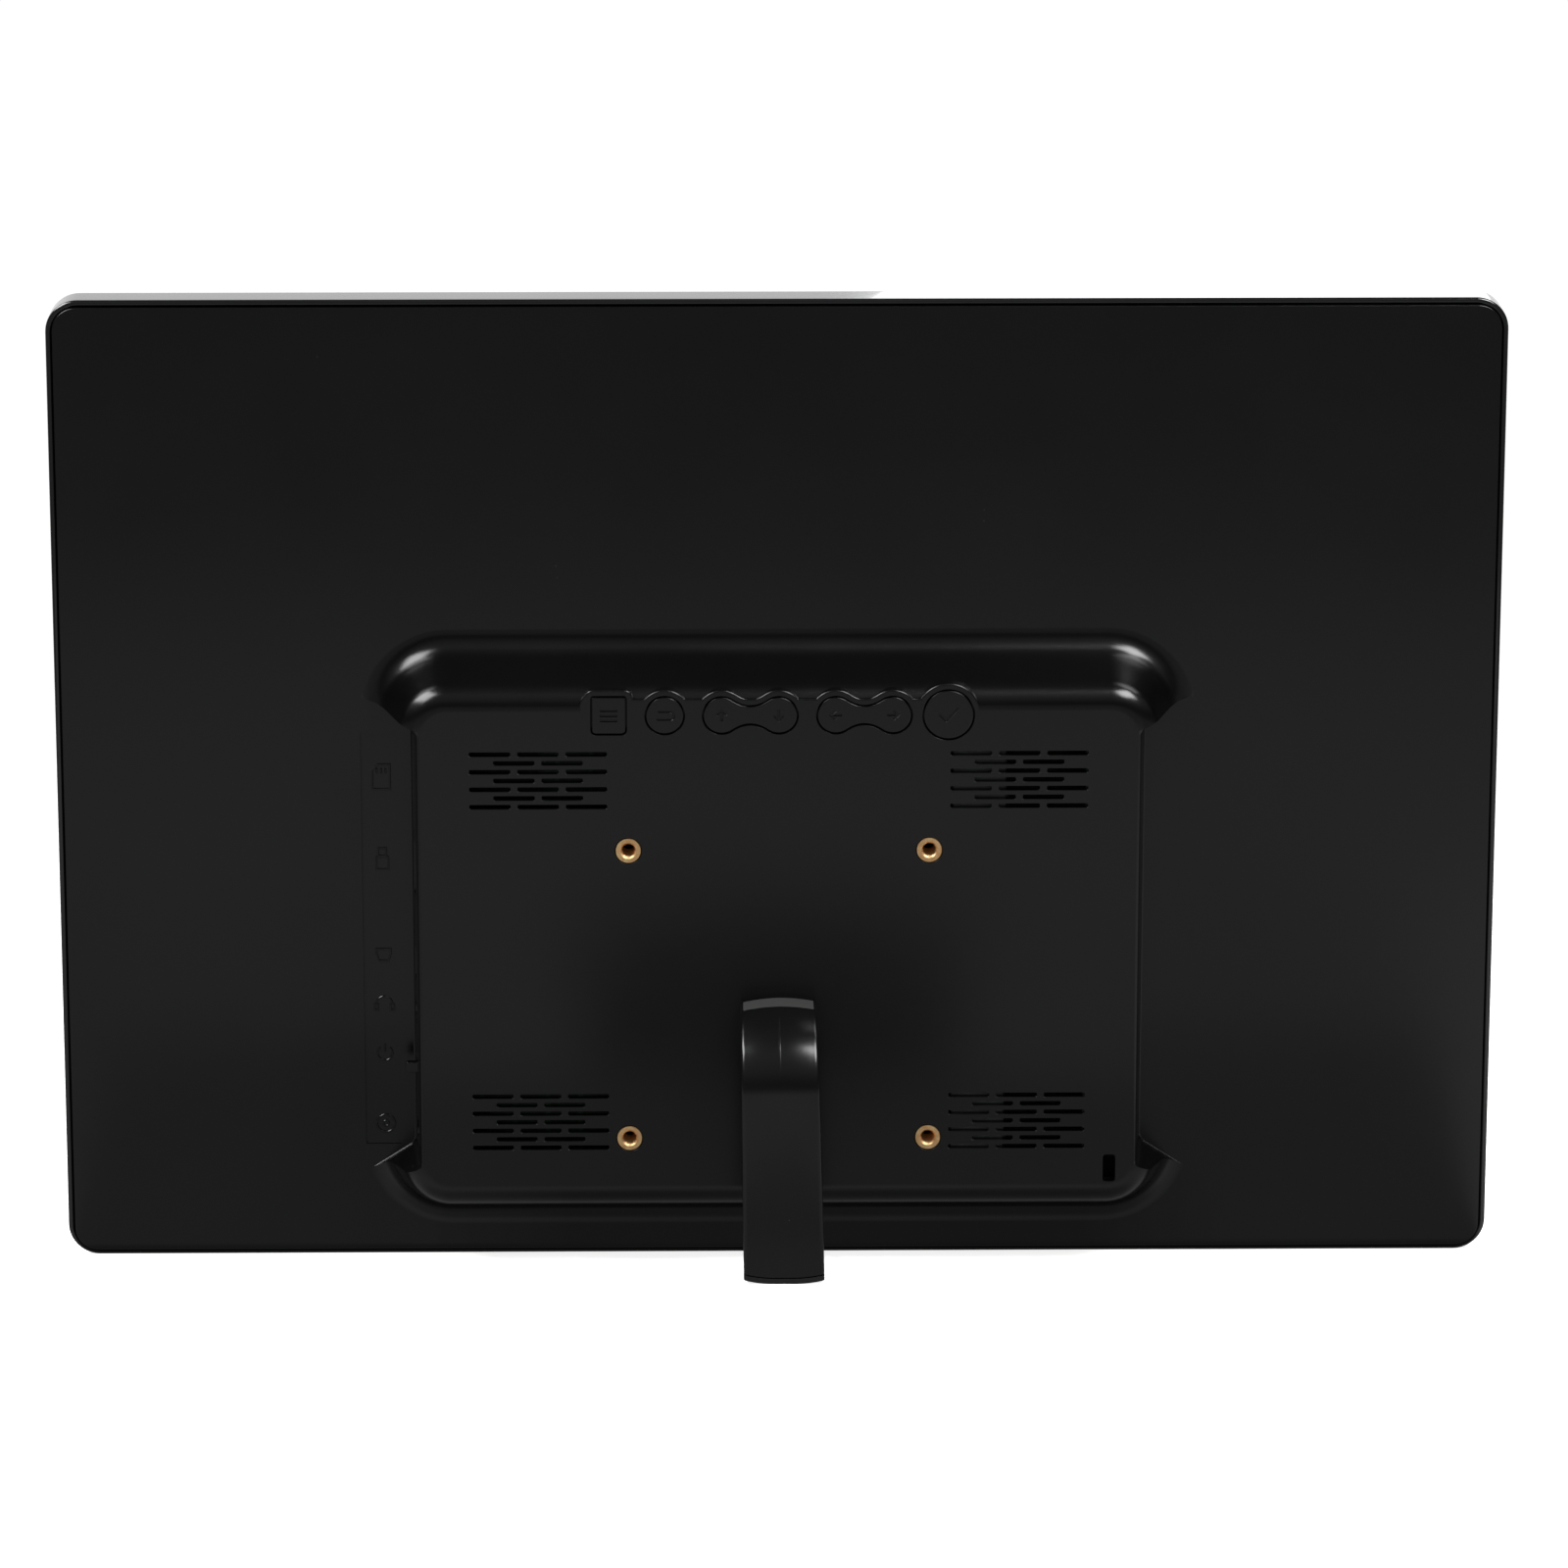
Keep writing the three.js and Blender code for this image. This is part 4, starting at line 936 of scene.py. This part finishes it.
def arm_outline(thickness, ridge, half):
    """Crowned outer face with a fine moulding line, rounded long edges and a flat inner face."""
    top, bottom = 1.1, 0.9
    crown = half - top
    moulding, moulding_top = [(0.09, 0.03), (0.18, 0.016), (0.26, 0.0)], 0.036
    moulding += [(crown * i / 8, 0.0) for i in range(1, 9)]
    face = [(x, ridge * (1 - (x / crown) ** 2) + rise) for x, rise in moulding]
    points = [(-x, out) for x, out in reversed(face)] + [(0.0, ridge + moulding_top)] + face
    top_count = len(points)
    for i in range(1, 7):
        angle = pi / 2 * i / 6
        points.append((crown + top * sin(angle), -top + top * cos(angle)))
    for i in range(0, 6):
        angle = pi / 2 * i / 5
        x = half - bottom + bottom * cos(angle)
        points.append((x, bottom - thickness - bottom * sin(angle)))
    mirrored = [(-x, out) for x, out in reversed(points[top_count:])]
    return points + mirrored


def arm_levels():
    """(distance, thickness, crown, half width) along the arm, from a filleted root to the foot."""
    root = ARM_TOP - (HUB_UP - 9.7)
    fillet = ((0, 0), (1.0, 1.5), (2.0, 2.8), (3.2, 4.2), (4.4, 5.4))
    keys = [(distance, root - less, 0.9, 9.6) for distance, less in fillet]
    keys += [
        (ARM_STRAIGHT, 11.7, 0.9, 9.6),
        (ARM_STRAIGHT + 4, 10.7, 0.86, 9.63),
        (LEG, 8.6, 0.63, 9.8),
        (LEG + 24, 8.0, 0.25, 9.95),
        (LEG + LEG_LENGTH, 7.4, 0.05, 10.05),
    ]
    stops = [0, 0.5, 1.0, 1.5, 2.0, 2.6, 3.2, 3.8, 4.4, 5.5, ARM_STRAIGHT]
    stops += [ARM_STRAIGHT + BEND_LENGTH * i / 36 for i in range(1, 37)]
    stops += [LEG + LEG_LENGTH * i / 14 for i in range(1, 15)]
    levels = []
    for stop in stops:
        for low, high in zip(keys, keys[1:]):
            if low[0] <= stop <= high[0] + 1e-9:
                t = (stop - low[0]) / (high[0] - low[0])
                levels.append((stop, *(a + (b - a) * t for a, b in zip(low[1:], high[1:]))))
                break
    return levels


def arm_blank():
    """The whole arm, longer than it needs to be, before its foot is shaped."""
    rings = []
    for distance, thickness, ridge, half in arm_levels():
        depth, up, turn = station(distance)
        ring = []
        for x, out in arm_outline(thickness, ridge, half):
            du = up + out * cos(turn) - HUB_UP
            across = x * cos(TWIST) + du * sin(TWIST)
            above = HUB_UP - x * sin(TWIST) + du * cos(TWIST)
            ring.append((across, depth + out * sin(turn), above))
        rings.append(ring)
    return skin(rings)


def over_foot(lift):
    """Everything above a convex curve that stands a little over the ground."""
    side, top, flat = 14, 90.0, 2.2
    outline = [(-side, top)]
    for i in range(-24, 25):
        x = side * i / 24
        outside = max(abs(x) - flat, 0)
        outline.append((x, lift + FOOT_RADIUS - sqrt(FOOT_RADIUS**2 - outside**2)))
    outline.append((side, top))
    rings = []
    for y in (-20, 100):
        ring = []
        for x, z in outline:
            z += GROUND
            ring.append((x + FOOT_X, y * COS - z * SIN, y * SIN + z * COS))
        rings.append(ring)
    return skin(rings)


def stand_arm():
    """The arm above its pad, with a bore for the screw."""
    arm = combine(arm_blank(), over_foot(1.6), "INTERSECT")
    return cut(arm, post(0, HUB_UP, [(2.2, ARM_START - 1), (2.2, ARM_START + 5)]))


def foot_pad():
    """The lowest slice of the arm, on the table."""
    pad = combine(arm_blank(), over_foot(0), "INTERSECT")
    return cut(pad, over_foot(1.3))


def paint_top_highlight(arm):
    """Painted highlight: the level top by the housing, up to where the arm starts to bend, gets a
    lighter grey that stands in for the bright strip of light it catches.
    """
    arm.data.materials.append(TOP_HIGHLIGHT)
    back = LEANING.inverted()
    for face in arm.data.polygons:
        centre = back @ face.center
        level = face.normal.z > 0.95 and centre.y < ARM_START + ARM_STRAIGHT + 1
        face.material_index = 1 if level and centre.z > ARM_TOP - 0.3 else 0


# The arm's level top gets the painted highlight material.
paint_top_highlight(piece("stand_curve", stand_arm(), "stand", STAND, ["stand_arm"], sharp=24))
piece("foot_cushion", foot_pad(), "stand", RUBBER, ["stand_foot_pad"])

# ---- Inserts ----


KNURL = 0.07


def insert(x, up):
    """A brass ring with bevelled lips, a knurled skirt and a threaded bore."""
    sides = 60
    outside = [(3.0, 8), (3.15, 7.85), (3.15, 5.2), (2.9, 5.0), (2.9, 4.2), (3.15, 4.0)]
    outside += [(3.15, 0.12), (3.08, 0.03), (2.95, 0)]
    outside = [(radius, PLATE - below) for radius, below in outside]
    inside = [(2.15, PLATE), (2.0, PLATE - 0.08), (1.72, PLATE - 0.4)]
    depth = PLATE - 0.4
    while depth > PLATE - 7.4:
        inside += [(1.95, depth - 0.18), (1.68, depth - 0.35), (1.66, depth - 0.5)]
        depth -= 0.7
    inside += [(1.7, PLATE - 7.9), (1.9, PLATE - 8)]
    profile = outside + inside
    verts, faces = [], []
    for i in range(sides):
        angle = 2 * pi * i / sides
        for j, (radius, d) in enumerate(profile):
            if 0 < j < 7 and i % 2:
                radius -= KNURL
            verts.append((x + radius * cos(angle), d, up + radius * sin(angle)))
    count = len(profile)
    for i in range(sides):
        for j in range(count):
            a, b = i * count + j, i * count + (j + 1) % count
            c, d = (i + 1) % sides * count + (j + 1) % count, (i + 1) % sides * count + j
            faces.append((a, b, c, d))
    return solid(verts, faces)


for number, place in enumerate(INSERTS, 1):
    old = f"vesa_insert_{number}"
    name = f"threaded_insert_{number}"
    piece(name, insert(*place), "housing", BRASS, [old], sharp=20)

# ---- Power switch knob and socket contacts ----


KNOB_DEPTH, KNOB_UP = 8, 53
KNOB_HALF, KNOB_TALL = 1, 1.35
RIB = 0.09


def knob():
    """A rounded stem with a collar behind the cover and fine ribs on its tip."""
    rings = []
    for x, inset in ((83, 0.15), (83.15, 0), (93.5, 0), (93.8, 0.09), (94.02, 0.28), (94.1, 0.5)):
        outline = rectangle(KNOB_HALF - inset, -KNOB_TALL + inset, KNOB_TALL - inset, 0.3, 4)
        rings.append([(x, KNOB_DEPTH + depth, KNOB_UP + up) for depth, up in outline])
    body = add(skin(rings), box(87, 88.2, 6.1, 9.9, 50, 56))
    for up in (-0.8, -0.27, 0.27, 0.8):
        body = cut(body, box(93.85, 95, 6, 10, KNOB_UP + up - RIB, KNOB_UP + up + RIB))
    return body


piece("power_switch_tip", knob(), "power_slider", KEY, ["power_switch_knob"])


def spring(start, end, depth, up, half, lift):
    """A plated leaf: flat at its root, arched and turned down at its tip, with a tapered nose."""
    rings = []
    steps = 12
    bend, nose, narrowing, thick = 0.35, 0.75, 0.45, 0.1
    for i in range(steps + 1):
        t = i / steps
        x = start + (end - start) * t
        arch = lift * sin(pi * max(t - bend, 0) / (1 - bend))
        wide = half * (1 - narrowing * max(t - nose, 0) / (1 - nose))
        low, high = depth + arch, depth + arch + thick
        sides = ((low, -wide), (high, -wide), (high, wide), (low, wide))
        rings.append([(x, level, up + aside) for level, aside in sides])
    return skin(rings)


def contacts():
    """Plated springs on the tongues of the sockets."""
    strips = [spring(78, 86.6, 8.27, USB[0] + (i - 1.5) * 2.4, 0.5, -0.08) for i in range(4)]
    strips += [spring(63, 84, 5.24, CARD[0] + (i - 4) * 2.4, 0.55, 0.5) for i in range(9)]
    strips += [spring(80.5, 87.0, 6.37, MINI_USB[0] + (i - 2) * 0.8, 0.2, -0.05) for i in range(5)]
    return join(strips)


GILT = metal("gilt_contact", (0.6, 0.42, 0.16), (0.85, 0.62, 0.28), 0.18, 0.3)
piece("socket_contacts", contacts(), "housing", GILT)

# ---- Stage ----


WHITE = (1, 1, 1, 1)
FLOOR_SIZE, FLOOR_GLOW = 12.0, 0.85


def white_floor():
    """A pale table; the glow panels below stand in for it in reflections."""
    mesh = bpy.data.meshes.new("floor")
    square = ((-1, -1), (1, -1), (1, 1), (-1, 1))
    corners = [(FLOOR_SIZE * x, FLOOR_SIZE * y, 0) for x, y in square]
    mesh.from_pydata(corners, [], [(0, 1, 2, 3)])
    glow = {"Emission_Color": WHITE, "Emission_Strength": FLOOR_GLOW}
    look = Look("pale_floor", Roughness=0.9, Specular_IOR_Level=0.0, **glow)
    look.set("Base Color", look.blend(look.noise(3.0, 2.0), (0.9, 0.9, 0.9), (0.92, 0.92, 0.92)))
    mesh.materials.append(look.material)
    item = new_object("pale_floor", mesh)
    item.visible_glossy = False
    item.visible_diffuse = False


white_floor()


def area_light(name, place, aim, width, height, radiance):
    """A soft panel of even brightness, which lights the frame and shows in its gloss only."""
    data = bpy.data.lights.new(name, "AREA")
    data.shape = "RECTANGLE"
    data.size, data.size_y = width, height
    data.energy = pi * width * height * radiance
    item = new_object(name, data)
    item.location = place
    item.rotation_euler = (Vector(aim) - Vector(place)).to_track_quat("-Z", "Y").to_euler()
    item.visible_camera = False


FRAME_CENTRE = Vector((0, 0, 0.13))
BOX_AWAY = 1.6
NEAR_FROM, NEAR_TO = -0.018, 0.02


def softbox(name, azimuth, elevation, width, height, radiance):
    """A panel aimed at the frame: azimuth 0 is behind the screen's back, positive towards +X."""
    turn, lift = radians(azimuth), radians(elevation)
    towards = Vector((sin(turn) * cos(lift), cos(turn) * cos(lift), sin(lift)))
    area_light(name, FRAME_CENTRE + BOX_AWAY * towards, FRAME_CENTRE, width, height, radiance)


GLOW_UP = 0.001


def floor_glow(name, x0, x1, y0, y1, radiance):
    """Light coming back up from one part of the white table."""
    middle = Vector(((x0 + x1) / 2, (y0 + y1) / 2, GLOW_UP))
    area_light(name, middle, middle + Vector((0, 0, 1)), x1 - x0, y1 - y0, radiance)


# Panels at (azimuth, elevation), with width, height and radiance.
softbox("left_box", 73, 47, 1.3, 0.68, 11)
softbox("right_box", -47, 48, 0.78, 0.62, 14)
softbox("rim_box", -163, 25, 0.74, 0.5, 1.8)
floor_glow("floor_under", -0.18, 0.18, NEAR_TO, 0.1, 0.11)
# Next to the frame the table is dark under the housing and grows lighter in steps to both sides.
for side, start in ((1, 0.055), (-1, 0.08)):
    edges = [start, start + 0.008, start + 0.016, start + 0.024, start + 0.032, 0.18]
    for step, radiance in enumerate((0.045, 0.06, 0.075, 0.09, 0.11)):
        x0, x1 = sorted((side * edges[step], side * edges[step + 1]))
        floor_glow(f"floor_near_{side}_{step}", x0, x1, NEAR_FROM, NEAR_TO, radiance)
floor_glow("floor_near_middle", -0.08, 0.055, NEAR_FROM, NEAR_TO, 0.03)
floor_glow("floor_left", 0.18, 0.6, NEAR_FROM, 0.2, 0.2)
floor_glow("floor_right", -0.6, -0.18, NEAR_FROM, 0.2, 0.4)
floor_glow("floor_beside_left", 0.05, 0.18, 0.1, 0.2, 0.24)
floor_glow("floor_beside_right", -0.18, -0.05, 0.1, 0.2, 0.24)
floor_glow("floor_front", -0.4, 0.4, 0.2, 0.4, 0.27)
floor_glow("floor_far", -0.6, 0.6, 0.4, 0.8, 0.06)


# How bright the room is at each elevation, on the camera's side and behind the screen.
ROOM_FRONT = (
    *((-90, 0.11), (-62, 0.13), (-50, 0.28), (-38, 0.28), (-26, 0.1), (-16, 0.1), (-12, 0.2)),
    *((-4, 0.2), (2, 0.03), (12, 0.05), (26, 0.15), (48, 0.14), (62, 0.03), (90, 0.03)),
)
ROOM_BEHIND = ((-90, 0.1), (-10, 0.15), (0, 0.9), (35, 0.9), (50, 0.08), (90, 0.03))
# The side behind the screen fades in between these values of Y.
BEHIND_FROM, BEHIND_TO = -0.4, -0.75
BACKDROP = 1.05


def world():
    """White as seen, and a dim studio with bands of light in reflections."""
    made = bpy.data.worlds.new("studio")
    bpy.context.scene.world = made
    made.use_nodes = True
    nodes, links = made.node_tree.nodes, made.node_tree.links
    nodes.clear()
    path = nodes.new("ShaderNodeLightPath")
    seen = nodes.new("ShaderNodeBackground")
    seen.inputs["Color"].default_value = WHITE
    seen.inputs["Strength"].default_value = BACKDROP
    place = nodes.new("ShaderNodeTexCoord")
    split = nodes.new("ShaderNodeSeparateXYZ")
    links.new(place.outputs["Generated"], split.inputs[0])

    def ramp(stops):
        made = nodes.new("ShaderNodeValToRGB")
        level = nodes.new("ShaderNodeMapRange")
        level.inputs["From Min"].default_value = -1.0
        links.new(split.outputs["Z"], level.inputs["Value"])
        links.new(level.outputs["Result"], made.inputs["Fac"])
        elements = made.color_ramp.elements
        while len(elements) < len(stops):
            elements.new(0.5)
        for element, (elevation, strength) in zip(elements, stops):
            element.position = (sin(radians(elevation)) + 1) / 2
            element.color = (strength, strength, strength, 1)
        return made.outputs["Color"]

    towards = nodes.new("ShaderNodeMapRange")
    towards.interpolation_type = "SMOOTHSTEP"
    towards.inputs["From Min"].default_value = BEHIND_FROM
    towards.inputs["From Max"].default_value = BEHIND_TO
    links.new(split.outputs["Y"], towards.inputs["Value"])
    blend = nodes.new("ShaderNodeMix")
    blend.data_type = "RGBA"
    links.new(towards.outputs["Result"], blend.inputs["Factor"])
    links.new(ramp(ROOM_FRONT), blend.inputs[MIX_A])
    links.new(ramp(ROOM_BEHIND), blend.inputs[MIX_B])
    room = nodes.new("ShaderNodeBackground")
    links.new(blend.outputs[MIX_OUT], room.inputs["Color"])
    mix = nodes.new("ShaderNodeMixShader")
    links.new(path.outputs["Is Camera Ray"], mix.inputs[0])
    links.new(room.outputs[0], mix.inputs[1])
    links.new(seen.outputs[0], mix.inputs[2])
    out = nodes.new("ShaderNodeOutputWorld")
    links.new(mix.outputs[0], out.inputs["Surface"])


world()

# ---- Camera ----
YAW, PITCH_DOWN, ROLL = -0.01395, 0.07924, -0.002016
CAMERA_PLACE = (0.02315, 1.7721, 0.2624)
LENS, SENSOR = 162.32625, 36
flat = cos(PITCH_DOWN)
look_along = Vector((sin(YAW) * flat, -cos(YAW) * flat, -sin(PITCH_DOWN)))
flat_right = look_along.cross(Vector((0, 0, 1))).normalized()
flat_up = flat_right.cross(look_along)
right = flat_right * cos(ROLL) + flat_up * sin(ROLL)
upward = flat_up * cos(ROLL) - flat_right * sin(ROLL)
camera_data = bpy.data.cameras.new("camera")
camera_data.sensor_width = SENSOR
camera_data.lens = LENS
camera_data.clip_end = 100
camera = new_object("camera", camera_data)
turn = Matrix((right, upward, -look_along)).transposed()
camera.matrix_world = Matrix.Translation(CAMERA_PLACE) @ turn.to_4x4()
bpy.context.scene.camera = camera
bpy.context.scene.view_settings.view_transform = "Standard"
